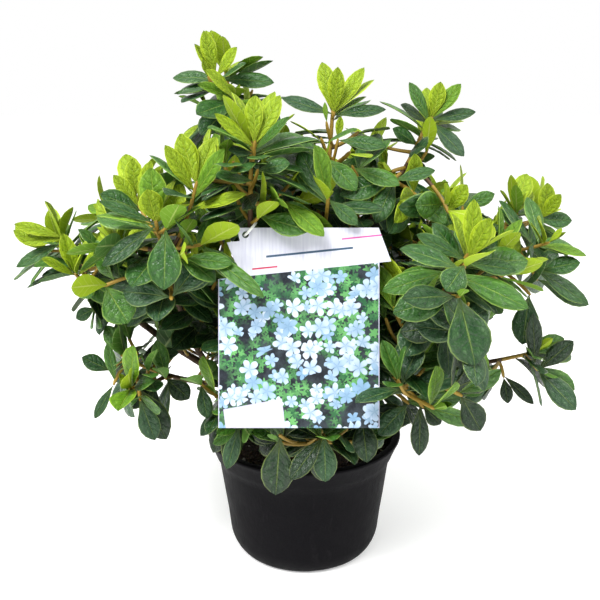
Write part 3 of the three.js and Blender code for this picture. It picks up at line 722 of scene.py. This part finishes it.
def hides_view(rim):
    """Whether any of these points stands in one of the lines of sight, which widen from the camera on."""
    way, reach, width, end = open_views
    off = rim[:, None] - CAMERA_PLACE
    along = (off * way).sum(axis=2)
    aside = np.linalg.norm(off - along[..., None] * way, axis=2)
    return ((aside < width * along / reach) & (along < end)).any()


def grow_spur(mass, line, at_share, key, scale=1.0):
    """A spur leaves a line at a share of its length, where it has room and hides no view."""
    turn = 360 * chance(mass["index"], key, 1, 21)
    start = line.point(at_share)
    size = scale * (0.8 + 0.5 * chance(mass["index"], key, 2, 22))
    tip = start + polar(turn, SPUR["out"] * size, SPUR["up"] * size)
    tip += SPUR["onward"] * line.direction(at_share)
    new = branch(start, tip)
    points, _ = trace(new, 0.25, 1)
    if over_pot(points).all() and clear_of_card(points).all() and not hides_view(points):
        far = np.linalg.norm(points[-1] - wood_at, axis=1) - wood_radius
        if far.min() > ROOM["spur"]:
            add_shoot(mass, new, 0, SPUR["foot"], key, 2)


for shoot in list(shoots):
    mass, line = shoot["mass"], shoot["line"]
    for j, place_on in enumerate(SPUR["places"]):
        at_share = shoot["start"] + (1 - shoot["start"]) * place_on
        if (1 - at_share) * line.length > SPUR["below_tip"]:
            grow_spur(mass, line, at_share, FIRST_KEY["spur"] + shoot["key"] * 5 + j)
for mass in masses.values():
    for j in range(BOUGH_SPURS["count"]):
        at_share = mass["end"] * (BOUGH_SPURS["first"] - BOUGH_SPURS["step"] * j)
        grow_spur(mass, mass["line"], at_share, FIRST_KEY["bough_spur"] + j, BOUGH_SPURS["scale"])
hung = []
for i, (name, at_share, tip, *hanging) in enumerate(SPRAYS):
    mass = masses[name]
    twig = branch(mass["line"].point(at_share), np.array(tip, float))
    hung.append((add_shoot(mass, twig, 0, SPUR["foot"], FIRST_KEY["spray"] + i, 3), hanging))

# ---- Leaves ----
# Thick evergreen leaves stand in a spiral, crowded at the end of every shoot: young ones upright in the
# middle, grown ones spread below them, older ones down the stem. The blade folds up a little along the
# sunken midrib and swells between the side veins, and its edge is thin and pale.
GOLDEN_ANGLE = 137.5
KINDS = {
    "bud": dict(length=16, width=5, splay=7, step=6, down=0.6, apart=0.5, droop=-0.03, fold=0.5),
    "young": dict(length=37, width=15, splay=10, step=14, down=2, apart=1.2, droop=0.08, fold=0.34),
    "grown": dict(length=42, width=19.5, splay=60, step=7, down=8, apart=2.2, droop=0.1, fold=0.2),
    "lower": dict(length=42, width=20, splay=94, step=3, down=22, apart=6.5, droop=0.12, fold=0.13),
}
# how many of each kind a leader, a side shoot, a spur and a twig of the sprays' table carry at most
COUNTS = {0: (2, 5, 7, 9), 1: (2, 5, 7, 8), 2: (1, 3, 6, 4), 3: (1, 2, 3, 0)}
POSTURES, POSTURE_TURN = 8, 22
# the rule's questions about a leaf, by number, and every posture asks the one on "play" anew
ASKED = {"turn": 2, "play": 3, "size": 9, "width": 10, "droop": 11, "down": 12, "twist": 13, "fold": 14}
UPRIGHT = np.array([0, 0, 0.6])


def leaf_rows(ys, half_width, sweep, quilt):
    """A blade's rings of eight points: five over the top, and rim, keel and rim below. Each has its place
    across and along as shares of the size, its relief in millimetres, its lift by the fold, and its side.
    Sweep is how far a ring runs forward to the edge, and quilt how far it swells or sinks between them."""
    table = np.linspace(0, 1, 41)
    widths = half_width(table)
    rings = []
    for i, y in enumerate(ys):
        ring = []
        forward = sweep * math.sin(math.pi * y)
        swell = quilt * (1 if i % 2 else -1) * math.sin(math.pi * min(1, y * 1.15)) ** 0.7
        for s in (-1, -0.5, 0, 0.5, 1):
            y_here = y + forward * abs(s)
            w = np.interp(y_here, table, widths)
            lift = 0.6 * w + swell * (w > 0.3) if abs(s) == 0.5 else 0.0
            ring.append((s * w, y_here, lift, abs(s) * w, s))
        y_edge = y + forward
        w = np.interp(y_edge, table, widths)
        edge = (w * 1.02 + 0.012, y_edge, -0.3, w, 1.03)
        keel = (0.0, y, -0.8 if w > 0.1 else -0.5, 0.0, 0.0)
        ring += [edge, keel, (-edge[0], *edge[1:4], -1.03)]
        rings.append(ring)
    return np.array(rings)


def blade_shape(rings):
    """The closed blade: a point at the petiole's root, the rings, and a point at the tip."""
    points = np.concatenate([[(0, 0, -0.2, 0, 0)], rings.reshape(-1, 5), [(0, 1, -0.1, 0, 0)]])
    count, last = len(rings), 8 * len(rings) + 1
    faces, kinds = [], []
    for c in range(8):
        d = (c + 1) % 8
        faces.append((0, 1 + d, 1 + c))
        for r in range(count - 1):
            a, b = 1 + 8 * r, 1 + 8 * (r + 1)
            faces.append((a + c, a + d, b + d, b + c))
        a = 1 + 8 * (count - 1)
        faces.append((a + c, a + d, last))
        kinds += [int(c in (5, 6))] * (count + 1)
    return points, faces, np.array(kinds)


def grown_outline(y):
    return np.interp(y, (0, 0.05, 0.1, 0.18, 0.28, 0.4, 0.5, 0.6, 0.69, 0.78, 0.86, 0.92, 0.96, 1),
                     (0.05, 0.065, 0.12, 0.28, 0.53, 0.8, 0.94, 1, 0.97, 0.87, 0.67, 0.45, 0.25, 0.0))


def young_outline(y):
    return np.interp(y, (0, 0.06, 0.14, 0.26, 0.4, 0.52, 0.62, 0.74, 0.85, 0.92, 0.96, 1),
                     (0.1, 0.14, 0.26, 0.52, 0.81, 0.96, 1, 0.91, 0.67, 0.43, 0.24, 0.0))


GROWN_SHAPE = blade_shape(leaf_rows((0.08, 0.21, 0.36, 0.51, 0.66, 0.81, 0.93), grown_outline, 0.07, 0.24))
YOUNG_SHAPE = blade_shape(leaf_rows((0.1, 0.28, 0.46, 0.64, 0.81, 0.93), young_outline, 0.05, 0.12))
WIDEST = 0.58


def half_width(y):
    return 0.5 * np.minimum(y / WIDEST, (1 - y) / (1 - WIDEST)) ** 0.6


# points round a leaf's edge and up its midrib, by which it is kept out of its neighbours
CORNERS = np.array([(0, 0.1), (-0.36, 0.35), (-0.5, WIDEST), (-0.36, 0.85), (0, 1), (0.36, 0.85),
                    (0.5, WIDEST), (0.36, 0.35), (0, 0.1), (0, 0.55), (0, 1)])
RIM = np.stack([CORNERS[:-1], (CORNERS[:-1] + CORNERS[1:]) / 2], axis=1).reshape(-1, 2)


def leaf_places(leaf, across, along, height=0.0):
    """Points of a leaf given across and along it, bent down along its length, in millimetres."""
    bend = leaf["droop"] * 2
    y = leaf["length"] * (along - bend * bend * along ** 3 / 6)
    x = across * leaf["width"]
    twist = leaf["twist"] * along
    z = x * np.sin(twist) + height * np.cos(twist) - leaf["length"] * (bend * along ** 2 / 2)
    x = x * np.cos(twist) - height * np.sin(twist)
    return np.stack([x, y, z], axis=-1) @ leaf["frame"] + leaf["root"]


def unit(vector):
    return vector / np.linalg.norm(vector)


def hung_leaf(shoot, i, tip, width):
    """A leaf of a table's spray, from near its twig's end to a given tip, its face up and forwards."""
    along = 0.97 - 0.1 * i
    root = shoot["line"].point(along)
    run = unit(np.array(tip, float) - root)
    face = np.array([0, -0.75, 0.66])
    face = unit(face - run * (face @ run))
    return {
        "root": root, "along": along, "frame": np.array([np.cross(run, face), run, face]),
        "length": np.linalg.norm(np.array(tip, float) - root), "width": abs(float(width)),
        "droop": 0.05, "twist": 0.3 * (chance(shoot["id"], i, 1, ASKED["twist"]) - 0.5), "fold": 0.2,
        "kind": "grown" if width > 0 else "young", "row": i, "shoot": shoot,
    }


def new_leaf(shoot, i, posture):
    """Leaf number i of a shoot, counted from the tip down. Each posture is another try to find it room."""
    mass, key, line = shoot["mass"]["index"], shoot["key"], shoot["line"]

    def lot(question):
        return chance(mass, key, i + 1, ASKED[question])

    row = i
    for name, count in zip(KINDS, COUNTS[shoot["order"]]):
        if row < count:
            break
        row -= count
    kind = KINDS[name]
    down = kind["down"] + kind["apart"] * (row + 0.5 * chance(mass, key, i, ASKED["down"]))
    along = 1 - down / line.length
    if along < shoot["start"] + 2 / line.length:
        return None
    axis = unit(line.direction(along) + UPRIGHT)
    first = unit(np.cross((1.0, 0, 0), axis))
    second = np.cross(axis, first)
    first_turn = 360 * chance(mass, key, 0, ASKED["turn"])
    turn = math.radians(GOLDEN_ANGLE * i + first_turn + POSTURE_TURN * posture)
    outward = first * math.cos(turn) + second * math.sin(turn)
    play = chance(mass, key, i + 1, ASKED["play"] + posture) - 0.5
    splay = math.radians(kind["splay"] + kind["step"] * row + 18 * play)
    run = axis * math.cos(splay) + outward * math.sin(splay)
    face = axis * math.sin(splay) - outward * math.cos(splay)
    size = (0.86 if shoot["order"] == 2 else 1.0) * (0.82 + 0.34 * lot("size"))
    return {
        "root": line.point(along) + outward * 0.5, "along": along,
        "frame": np.array([np.cross(run, face), run, face]),
        "length": kind["length"] * size,
        "width": kind["width"] * size * (0.84 + 0.38 * lot("width")),
        "droop": kind["droop"] * (0.3 + 1.5 * lot("droop")),
        "twist": 0.6 * (lot("twist") - 0.5),
        "fold": kind["fold"] * (0.6 + 0.9 * lot("fold")),
        "kind": name, "row": row, "shoot": shoot,
    }


# how far a blade keeps from other blades and from wood
LEAF_ROOM = {"blade": 0.7, "wood": 0.6}


def over_blade(points, frames, roots, lengths, widths, droops):
    """Whether a row of points passes through or close along each of some blades."""
    local = np.einsum("npi,nji->npj", points - roots[:, None], frames)
    along = local[..., 1] / lengths[:, None]
    height = local[..., 2] + lengths[:, None] * droops[:, None] * along ** 2
    edge = half_width(np.clip(along, 0, 1)) * widths[:, None]
    inside = (along > 0.16) & (along < 1) & (np.abs(local[..., 0]) < edge)
    close = (inside & (np.abs(height) < LEAF_ROOM["blade"])).any(axis=1)
    both = inside[:, 1:] & inside[:, :-1]
    return close | (both & (height[:, 1:] * height[:, :-1] < 0)).any(axis=1)


# leaves stay within the solids' box and a centimetre round it
low, high = (np.array(corner) / MM for corner in cad_box)
low, high = low - (10, 10, 0), high + (10, 10, 10)
BLADE = ("frame", "root", "length", "width", "droop")
# the leaves that have found room, and their measures again as arrays, to test against all of them at once
MOST_LEAVES = 6000
grown_so_far = {}
leaves = []


def meets_wood(leaf, middle):
    """Whether any limb but the leaf's own twig passes through the blade or close along it."""
    near = np.linalg.norm(wood_at - middle, axis=1) < leaf["length"]
    near &= wood_owner != leaf["shoot"]["id"]
    local = (wood_at[near] - leaf["root"]) @ leaf["frame"].T
    along = local[:, 1] / leaf["length"]
    height = local[:, 2] + leaf["length"] * leaf["droop"] * along ** 2
    room = wood_radius[near] + LEAF_ROOM["wood"]
    edge = half_width(np.clip(along, 0.02, 0.98)) * leaf["width"] + room
    return ((along > 0.1) & (along < 1) & (np.abs(local[:, 0]) < edge) & (np.abs(height) < room)).any()


def meets_leaf(leaf, rim, middle):
    """Whether this blade's edge passes through another blade, or another's edge through this one."""
    so_far = {name: values[:len(leaves)] for name, values in grown_so_far.items()}
    gaps = np.linalg.norm(so_far["middle"] - middle, axis=1)
    close = np.flatnonzero(gaps < 0.55 * (so_far["length"] + leaf["length"]))
    if not len(close):
        return False
    theirs = [so_far[name][close] for name in BLADE]
    mine = [np.broadcast_to(leaf[name], (len(close), *np.shape(leaf[name]))) for name in BLADE]
    return (over_blade(np.broadcast_to(rim, (len(close), *rim.shape)), *theirs).any()
            or over_blade(so_far["rim"][close], *mine).any())


def finds_room(leaf, by_rule=True):
    """Keeps the leaf if it is clear of the pot, the card, wood and the leaves so far, and says if it is."""
    rim, middle = leaf_places(leaf, *RIM.T), leaf_places(leaf, 0.0, np.array(0.55))
    if by_rule and hides_view(rim):
        return False
    if not (over_pot(rim).all() and clear_of_card(rim).all()) or (rim < low).any() or (rim > high).any():
        return False
    if meets_wood(leaf, middle) or (leaves and meets_leaf(leaf, rim, middle)):
        return False
    for name, value in (("rim", rim), ("middle", middle), *((n, leaf[n]) for n in BLADE)):
        grown_so_far.setdefault(name, np.zeros((MOST_LEAVES, *np.shape(value))))[len(leaves)] = value
    leaves.append(leaf)
    return True


# a leaf of the table that has no room where its tip should be is tried further forward
FORWARD = (0, 7, 14, 21)
for shoot, hanging in hung:
    for i, (x, y, z, width) in enumerate(hanging):
        for forward in FORWARD:
            if finds_room(hung_leaf(shoot, i, (x, y - forward, z), width), by_rule=False):
                break
# the rule puts no other leaf in front of these leaves' midribs: places along one, and the share of its width
MIDRIB_PLACES, MIDRIB_SHARE, IN_FRONT = (0.35, 0.6, 0.85), 0.26, 2
for share_on in MIDRIB_PLACES:
    keep_open([leaf_places(leaf, 0.0, np.array(share_on)) for leaf in leaves],
              [MIDRIB_SHARE * leaf["width"] for leaf in leaves], -IN_FRONT)
# Leaders and the table's twigs get their leaves first, and spurs last. A leaf takes the first posture that
# leaves it clear of all else, and one that finds none is left out.
for shoot in sorted(shoots, key=lambda one: one["order"] % 3):
    for i in range(sum(COUNTS[shoot["order"]])):
        for posture in range(POSTURES):
            leaf = new_leaf(shoot, i, posture)
            if leaf is None or finds_room(leaf):
                break

# The colour goes by spray: bright lime on shoots in the light, deep green low down and inside, and here and
# there a leaf that is going yellow. Each shade has one finish for the blade and one for its dull underside,
# and all its leaves share two cells of a second map, named OFBake, one for each finish.
SHADES = {
    "lime": (154, 178, 14), "spring": (102, 144, 22), "fresh": (62, 110, 28), "leaf": (40, 84, 28),
    "deep": (24, 62, 24), "dark": (10, 34, 12), "blue": (40, 74, 46), "gold": (150, 112, 16),
}
# cells to a side of that map, and side veins to each half of a blade
CELLS, VEINS = 6, 6.2


def toward(color, other, share):
    return tuple(a + (b - a) * share for a, b in zip(color, other))


def leaf_pattern(shader):
    """The leaf's own map as wires: the share out to the edge and along, and how far off each vein it is."""
    flat = shader.id_data.nodes.new("ShaderNodeUVMap")
    flat.uv_map = "leaf"
    flat = Wire(flat.outputs["UV"])
    parts = flat.node("SeparateXYZ", {}, {0: flat})
    side, along = parts, parts.also(1)
    out = side.math("ABSOLUTE")
    mottle = flat.node("TexNoise", {}, {"Vector": flat, "Scale": 3.2, "Detail": 5})
    swept = (along - out * 0.24 + out * out * 0.07 + mottle * 0.09) * VEINS
    swept = swept + side.math("GREATER_THAN", 0.0) * 0.45
    off_vein = (swept.math("FRACT") - 0.5).math("ABSOLUTE") * 2
    net = flat.node("TexVoronoi", {"feature": "DISTANCE_TO_EDGE"}, {
        "Vector": flat.node("Mapping", {}, {"Vector": flat, "Scale": (0.42, 1, 1)}), "Scale": 15})
    return out, along, off_vein, net, mottle


def blade_finish(name, color, shine, gloss):
    finish, shader, _ = new_finish(name, linear(*color), shine, Specular_IOR_Level=gloss)
    out, along, off_vein, net, mottle = leaf_pattern(shader)
    inner = 1 - out.between(0.7, 0.98)
    vein = (1 - off_vein.between(0.0, 0.14)) * inner
    mesh = (1 - net.between(0.0, 0.1)) * inner
    rib = 1 - out.between(0.025, 0.06)
    fading = 1 - along.between(0.1, 0.9) * 0.6
    pale = toward(color, (214, 222, 110), 0.5)
    heart = (1 - out.between(0.15, 0.9)) * mottle.between(0.35, 0.6)
    surface = mottle.between(0.34, 0.66).tint(linear(*toward(color, (12, 40, 16), 0.3)),
                                              linear(*toward(color, (190, 204, 90), 0.1)))
    surface = (heart * 0.5).tint(surface, linear(*toward(color, (30, 84, 30), 0.45)))
    # pale patches on the cells between the veins: a painted sheen, the sky's reflection painted into the
    # colour
    painted_sheen = mottle.between(0.46, 0.62) * off_vein.between(0.15, 0.7) * net.between(0.05, 0.3)
    surface = (painted_sheen * 0.42).tint(surface, linear(*toward(color, (196, 214, 172), 0.42)))
    # the side veins and the fine net are painted darker: painted shade in their sunken lines
    surface = (vein * 0.5 + mesh * 0.35).tint(surface, linear(*toward(color, (4, 26, 6), 0.55)))
    surface = ((1 - along.between(0.0, 0.35)) * 0.3).tint(surface, linear(*pale))
    surface = (rib * fading * 0.8).tint(surface, linear(*pale))
    (out.between(0.93, 0.99) * 0.55).tint(surface, linear(*pale)).into(shader, "Base Color")
    (mottle.between(0.3, 0.7) * 0.2 + mesh * 0.1 + (shine - 0.1)).into(shader, "Roughness")
    pillow = off_vein.between(0.0, 0.6).math("POWER", 0.5) * inner
    relief = pillow * 0.5 + net.between(0.0, 0.35) * 0.3 + mottle * 1.2 - rib * fading * 0.8
    bump_into(shader, relief, 0.0008)
    return finish


def underside_finish(name, color):
    finish, shader, _ = new_finish(name, linear(*color), 0.6, Specular_IOR_Level=0.2)
    out, along, off_vein, net, mottle = leaf_pattern(shader)
    vein = (1 - off_vein.between(0.03, 0.2)) * 0.4 + (1 - out.between(0.05, 0.1)) * 0.8
    pale = linear(*toward(color, (214, 220, 150), 0.5))
    (vein + mottle * 0.15).tint(linear(*color), pale).into(shader, "Base Color")
    bump_into(shader, vein + net * 0.3, 0.0005)
    return finish


shade_finishes, shade_index = [], {}
for name, color in SHADES.items():
    shade_index[name] = len(shade_finishes)
    tender = name in ("lime", "spring", "gold")
    shade_finishes += [
        blade_finish(f"{name}_blade", color, 0.46 if tender else 0.34, 0.25 if tender else 0.4),
        underside_finish(f"{name}_underside", toward(color, (96, 132, 58), 0.2 if tender else 0.36)),
    ]


def shade_of(leaf):
    """A leaf's shade goes by the light that its shoot stands in, its place down the shoot and the rule; the
    darker greens low down and inside are partly the older leaves' own colour and partly painted shade.
    """
    shoot = leaf["shoot"]
    tip = shoot["line"].point(1.0)
    # the light the shoot stands in, by its tip's height and reach: less light gives a darker green, partly
    # painted shade
    light = min(1.0, (tip[2] - 175) / 120 + 0.2 * (math.hypot(tip[0], tip[1]) - 90) / 130)
    light += 0.5 * (chance(shoot["mass"]["index"], shoot["key"], 5, 40) - 0.5) - 0.3 * (shoot["order"] > 1)
    own = light + 0.5 * (chance(shoot["id"], leaf["row"], 6, 41) - 0.5)
    if leaf["kind"] in ("bud", "young"):
        own -= 0.1 * leaf["row"] * (leaf["kind"] == "young")
        return "lime" if own > 0.52 else "spring" if own > 0.16 else "fresh"
    own -= 0.13 * leaf["row"] + 0.1
    if leaf["kind"] == "lower":
        if chance(shoot["id"], leaf["row"], 7, 42) > 0.98 and tip[2] < 240:
            return "gold"
        own -= 0.55
    for name, least in (("spring", 1.02), ("fresh", 0.66), ("leaf", 0.24)):
        if own > least:
            return name
    if chance(shoot["id"], leaf["row"], 8, 43) > 0.7:
        return "blue"
    return "deep" if own > -0.25 else "dark"


def leaf_points(leaf, shape):
    across, along, relief, lift, _ = shape[0].T
    wide = leaf["width"] / 2
    height = relief * leaf["width"] / KINDS["grown"]["width"] + lift * leaf["fold"] * wide
    return leaf_places(leaf, across / 2, along, height - 0.12 * wide * lift ** 3)


def map_leaves(mesh, shares, kinds):
    """Gives the piece the leaves' own map, and the one where each shade's leaves lie in one cell."""
    corners, sizes = np.empty(len(mesh.loops), int), np.empty(len(mesh.polygons), int)
    mesh.loops.foreach_get("vertex_index", corners)
    mesh.polygons.foreach_get("loop_total", sizes)
    across, along, _, _, side = shares[corners].T
    cell = np.repeat(kinds, sizes)
    spots = (cell % CELLS + 0.5 + 0.44 * across, cell // CELLS + 0.03 + 0.94 * along)
    for name, flat in (("leaf", (side, along)), ("OFBake", (spots[0] / CELLS, spots[1] / CELLS))):
        layer = mesh.uv_layers.new(name=name)
        layer.uv.foreach_set("vector", np.column_stack(flat).ravel())


groups = {"young_leaves": [], "fresh_leaves": [], "grown_leaves": [], "old_leaves": []}
for leaf in leaves:
    leaf["shade"] = shade_of(leaf)
    if leaf["kind"] in ("bud", "young"):
        groups["young_leaves"].append(leaf)
    elif leaf["shade"] in ("spring", "fresh"):
        groups["fresh_leaves"].append(leaf)
    else:
        groups["grown_leaves" if leaf["kind"] == "grown" else "old_leaves"].append(leaf)
for name, group in groups.items():
    points, shares, faces, kinds, start = [], [], [], [], 0
    for leaf in group:
        shape = YOUNG_SHAPE if leaf["kind"] in ("bud", "young") else GROWN_SHAPE
        points.append(leaf_points(leaf, shape))
        shares.append(shape[0])
        faces += [tuple(p + start for p in face) for face in shape[1]]
        kinds.append(shape[2] + shade_index[leaf["shade"]])
        start += len(points[-1])
    kinds = np.concatenate(kinds)
    piece = joined_piece(name, np.concatenate(points), faces, shade_finishes, kinds)
    map_leaves(piece.data, np.concatenate(shares), kinds)
    activate(piece)
    bpy.ops.object.shade_smooth_by_angle(angle=math.radians(48))
    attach(piece, "root")
    if name == "grown_leaves":
        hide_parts(*(f"foliage_{mass}" for mass in masses))

# ---- Twig wood ----
# The youngest few centimetres of a shoot are ochre, the wood below them brown, and both swell a little every
# five millimetres or so. A side shoot or spur ends in its topmost leaf, and one that found room for none is
# left out.
TWIG_WOOD = {"step": 2.4, "past_leaf": 2.5, "lowest_leaf": 0.2, "swell": 0.16, "tip_share": 0.55}
GREEN_LENGTH = 38.0
highest_leaf = {}
for leaf in leaves:
    one = leaf["shoot"]["id"]
    highest_leaf[one] = max(leaf["along"], highest_leaf.get(one, 0))
young_wood, _, _ = new_finish("ochre_shoot", linear(148, 120, 38), 0.6)
brown_wood, _, _ = new_finish("brown_twig", linear(80, 56, 34), 0.75)
green_lines, brown_lines = [], []
for shoot in shoots:
    line, start, foot = shoot["line"], shoot["start"], shoot["foot"]
    top = highest_leaf.get(shoot["id"], 0)
    if shoot["order"] and top < TWIG_WOOD["lowest_leaf"]:
        continue
    count = max(6, int((1 - start) * line.length / TWIG_WOOD["step"]))
    end = min(1, top + TWIG_WOOD["past_leaf"] / line.length) if shoot["order"] else 1
    along = np.linspace(start, end, count)
    part = (along - start) / (1 - start)
    swell = TWIG_WOOD["swell"] * np.maximum(0, np.cos(along * line.length * 1.25 + shoot["id"])) ** 2
    radius = foot + (SHOOT_TIP - foot) * part + swell
    radius[-1] *= TWIG_WOOD["tip_share"]
    points = line.point(along)
    young = (1 - along) * line.length < GREEN_LENGTH * (0.7 + 0.6 * chance(shoot["id"], 1, 1, 31))
    split = int(np.argmax(young))
    if split > 1:
        brown_lines.append((points[:split + 1], radius[:split + 1]))
    if split < count - 2:
        green_lines.append((points[split:], radius[split:]))
for name, lines, finish, slot in (("ochre_shoots", green_lines, young_wood, "green_twig"),
                                  ("brown_twigs", brown_lines, brown_wood, "bark")):
    twigs = rods(name, lines, 6, finish)
    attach(twigs, "root")

# ---- Picture card ----
# A plastic label printed on both sides, cut from a thin sheet: a picture of blossom on a dark ground, a
# white heading across it at a slant with plain rules on it, a small white corner field, and a punched tab.
card_print, shader, place = new_finish("card_print", linear(225, 228, 236), 0.32, Specular_IOR_Level=0.5)


def card_measure(direction):
    """How far a place lies along the card's width or height, in millimetres."""
    corner = tuple(card_corner * MM)
    return place.vector("SUBTRACT", corner).vector("DOT_PRODUCT", tuple(direction), out="Value") * 1000


card_x, card_y = card_measure(card_across), card_measure(card_up)


def scattered(cell, offset, reach_out, sharp, share):
    """Shapes of five lobes, one to a cell: where one is, how far out a place is, its lobes and its tone."""
    flat = place.node("CombineXYZ", {}, {
        0: card_x * (1 / cell) + offset, 1: card_y * (1 / cell) + offset * 0.7})
    bent = place.node("TexNoise", {}, {"Vector": flat, "Scale": 2.6, "Detail": 2}, out="Color")
    bent = bent.vector("MULTIPLY_ADD", (0.16, 0.16, 0), flat)
    given = {"Vector": bent, "Scale": 1.0, "Randomness": 0.9}
    spot = place.node("TexVoronoi", {"voronoi_dimensions": "2D"}, given, out="Position")
    lot = place.node("SeparateColor", {}, {0: spot.also("Color")})
    off = bent.vector("SUBTRACT", spot)
    parts = place.node("SeparateXYZ", {}, {0: off})
    away = off.vector("LENGTH", out="Value")
    angle = parts.also(1).math("ARCTAN2", parts) + lot * 6.28
    lobes = (angle * 2.5).math("COSINE").math("ABSOLUTE").math("POWER", sharp)
    edge = (lobes * 0.62 + 0.38) * reach_out
    there = lot.also(1).math("LESS_THAN", share)
    return (edge - away).between(-0.01, 0.03) * there, away.between(0.0, reach_out), lobes, lot.also(2)


grain = place.node("TexNoise", {}, {"Vector": place, "Scale": 120, "Detail": 6, "Roughness": 0.7})
cloud = place.node("TexNoise", {}, {"Vector": place, "Scale": 26, "Detail": 2})
picture = grain.between(0.4, 0.66).tint(linear(20, 24, 32), linear(58, 66, 72))
for cell, offset in ((5.5, 2.2), (6.5, 5.1), (5.0, 7.7)):
    sprig, _, _, tone = scattered(cell, offset, 0.62, 2.2, 0.62)
    green = tone.tint(linear(30, 84, 52), linear(104, 168, 98))
    picture = (sprig * cloud.between(0.4, 0.5)).tint(picture, green)
for cell, offset, reach_out, share in (
        (10.0, 3.3, 0.52, 0.4), (12.5, 9.1, 0.54, 0.42), (15.0, 14.7, 0.5, 0.36)):
    flower, out_of, lobes, tone = scattered(cell, offset, reach_out, 0.8, share)
    petal = tone.tint(linear(126, 162, 192), linear(204, 216, 232))
    petal = ((1 - out_of.between(0.1, 0.7)) * 0.55).tint(petal, linear(112, 146, 172))
    petal = ((1 - lobes.between(0.25, 0.7)) * 0.6).tint(petal, linear(104, 138, 170))
    picture = flower.tint(picture, petal)

# the heading stands on a slanting line, which runs between these two places on the card
SLANT_FROM, SLANT_TO = (16.5, 108), (123.5, 119)
SLANT = (SLANT_TO[1] - SLANT_FROM[1]) / (SLANT_TO[0] - SLANT_FROM[0])
heading_foot = card_x * SLANT + (SLANT_FROM[1] - SLANT_FROM[0] * SLANT)
heading = (card_y - heading_foot).between(-0.15, 0.15)
fibres = place.node("CombineXYZ", {}, {0: card_x * 0.5, 1: card_y * 0.03})
streaks = place.node("TexNoise", {}, {"Vector": fibres, "Scale": 1.0, "Detail": 4})
paper = streaks.between(0.42, 0.74).tint(linear(212, 213, 224), linear(192, 193, 210))
# each rule's two ends, its height above that line, half its thickness and its ink
RULES = ((34, 96, 12.5, 0.7, (58, 82, 104)), (24, 42, 4.6, 0.5, (186, 44, 74)),
         (88, 118, 19.5, 0.5, (196, 84, 148)))
for first, last, above, half, ink in RULES:
    line = 1 - (card_y - heading_foot - above).math("ABSOLUTE").between(half, half + 0.15)
    line = line * card_x.between(first, first + 0.3) * (1 - card_x.between(last, last + 0.3))
    paper = line.tint(paper, linear(*ink))
# the white corner field stands a little askew, and a narrow white border runs down both sides
corner_field = 1 - (card_y - card_x * 0.184 - 12.6).between(-0.15, 0.15)
corner_field = corner_field * (1 - (card_x + card_y * 0.12).between(47.7, 48.0))
corner_field = corner_field * (card_x + card_y * 0.13).between(5.1, 5.4)
border = 1 - card_x.between(0.5, 0.7) * (1 - card_x.between(CARD["width"] - 0.7, CARD["width"] - 0.5))
picture = (border + corner_field).math("MINIMUM", 1.0).tint(picture, linear(190, 188, 208))
heading.tint(picture, paper).into(shader, "Base Color")
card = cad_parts["picture_card"]
card.data.materials.clear()
card.data.materials.append(card_print)

# ---- Loop ----
# A white nylon strap, pushed through the punched hole, over the card's edge and round the front stem, and
# closed by its own small square head, which its cut end stands out of.
bpy.ops.object.select_all(action="DESELECT")
bpy.ops.mesh.primitive_torus_add(
    major_segments=56, minor_segments=10, major_radius=LOOP["radius"] * MM,
    minor_radius=LOOP["thickness"] * MM)
loop = bpy.context.object
loop.name = "nylon_loop"
bpy.ops.transform.resize(value=(1, 1, 1.25))
HEAD_TURN = math.radians(70)
head_place = tuple(LOOP["radius"] * MM * one for one in (math.cos(HEAD_TURN), math.sin(HEAD_TURN), 0))
bpy.ops.object.transform_apply(location=True, rotation=True, scale=True)
for name, size, out in (("head", (3.4, 2.8, 3.0), 0.0), ("cut_end", (0.9, 5.4, 1.4), 3.2)):
    bpy.ops.mesh.primitive_cube_add(size=MM, location=tuple(
        one * (1 + out / LOOP["radius"]) for one in head_place), rotation=(0, 0, HEAD_TURN - math.pi / 2))
    block = bpy.context.object
    block.name = name
    bpy.ops.transform.resize(value=size, orient_type="LOCAL")
    bpy.ops.object.transform_apply(location=True, rotation=True, scale=True)
    bevel = block.modifiers.new("soft_edge", "BEVEL")
    bevel.width, bevel.segments = 0.0003, 2
    bpy.ops.object.modifier_apply(modifier="soft_edge")
    loop.select_set(True)
    bpy.context.view_layer.objects.active = loop
    bpy.ops.object.join()
bpy.ops.transform.rotate(value=math.radians(LOOP["tilt"]), orient_axis="Y", center_override=(0, 0, 0))
bpy.ops.transform.translate(value=tuple(loop_centre * MM))
bpy.ops.object.transform_apply(location=True, rotation=True, scale=True)
bpy.ops.object.shade_smooth_by_angle(angle=math.radians(40))
nylon, shader, place = new_finish("white_nylon", linear(228, 230, 224), 0.38)
mottle = place.node("TexNoise", {}, {"Vector": place, "Scale": 600, "Detail": 3})
mottle.between(0.3, 0.7).tint(linear(214, 216, 208), linear(240, 242, 238)).into(shader, "Base Color")
loop.data.materials.append(nylon)
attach(loop, "root")
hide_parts("card_loop")
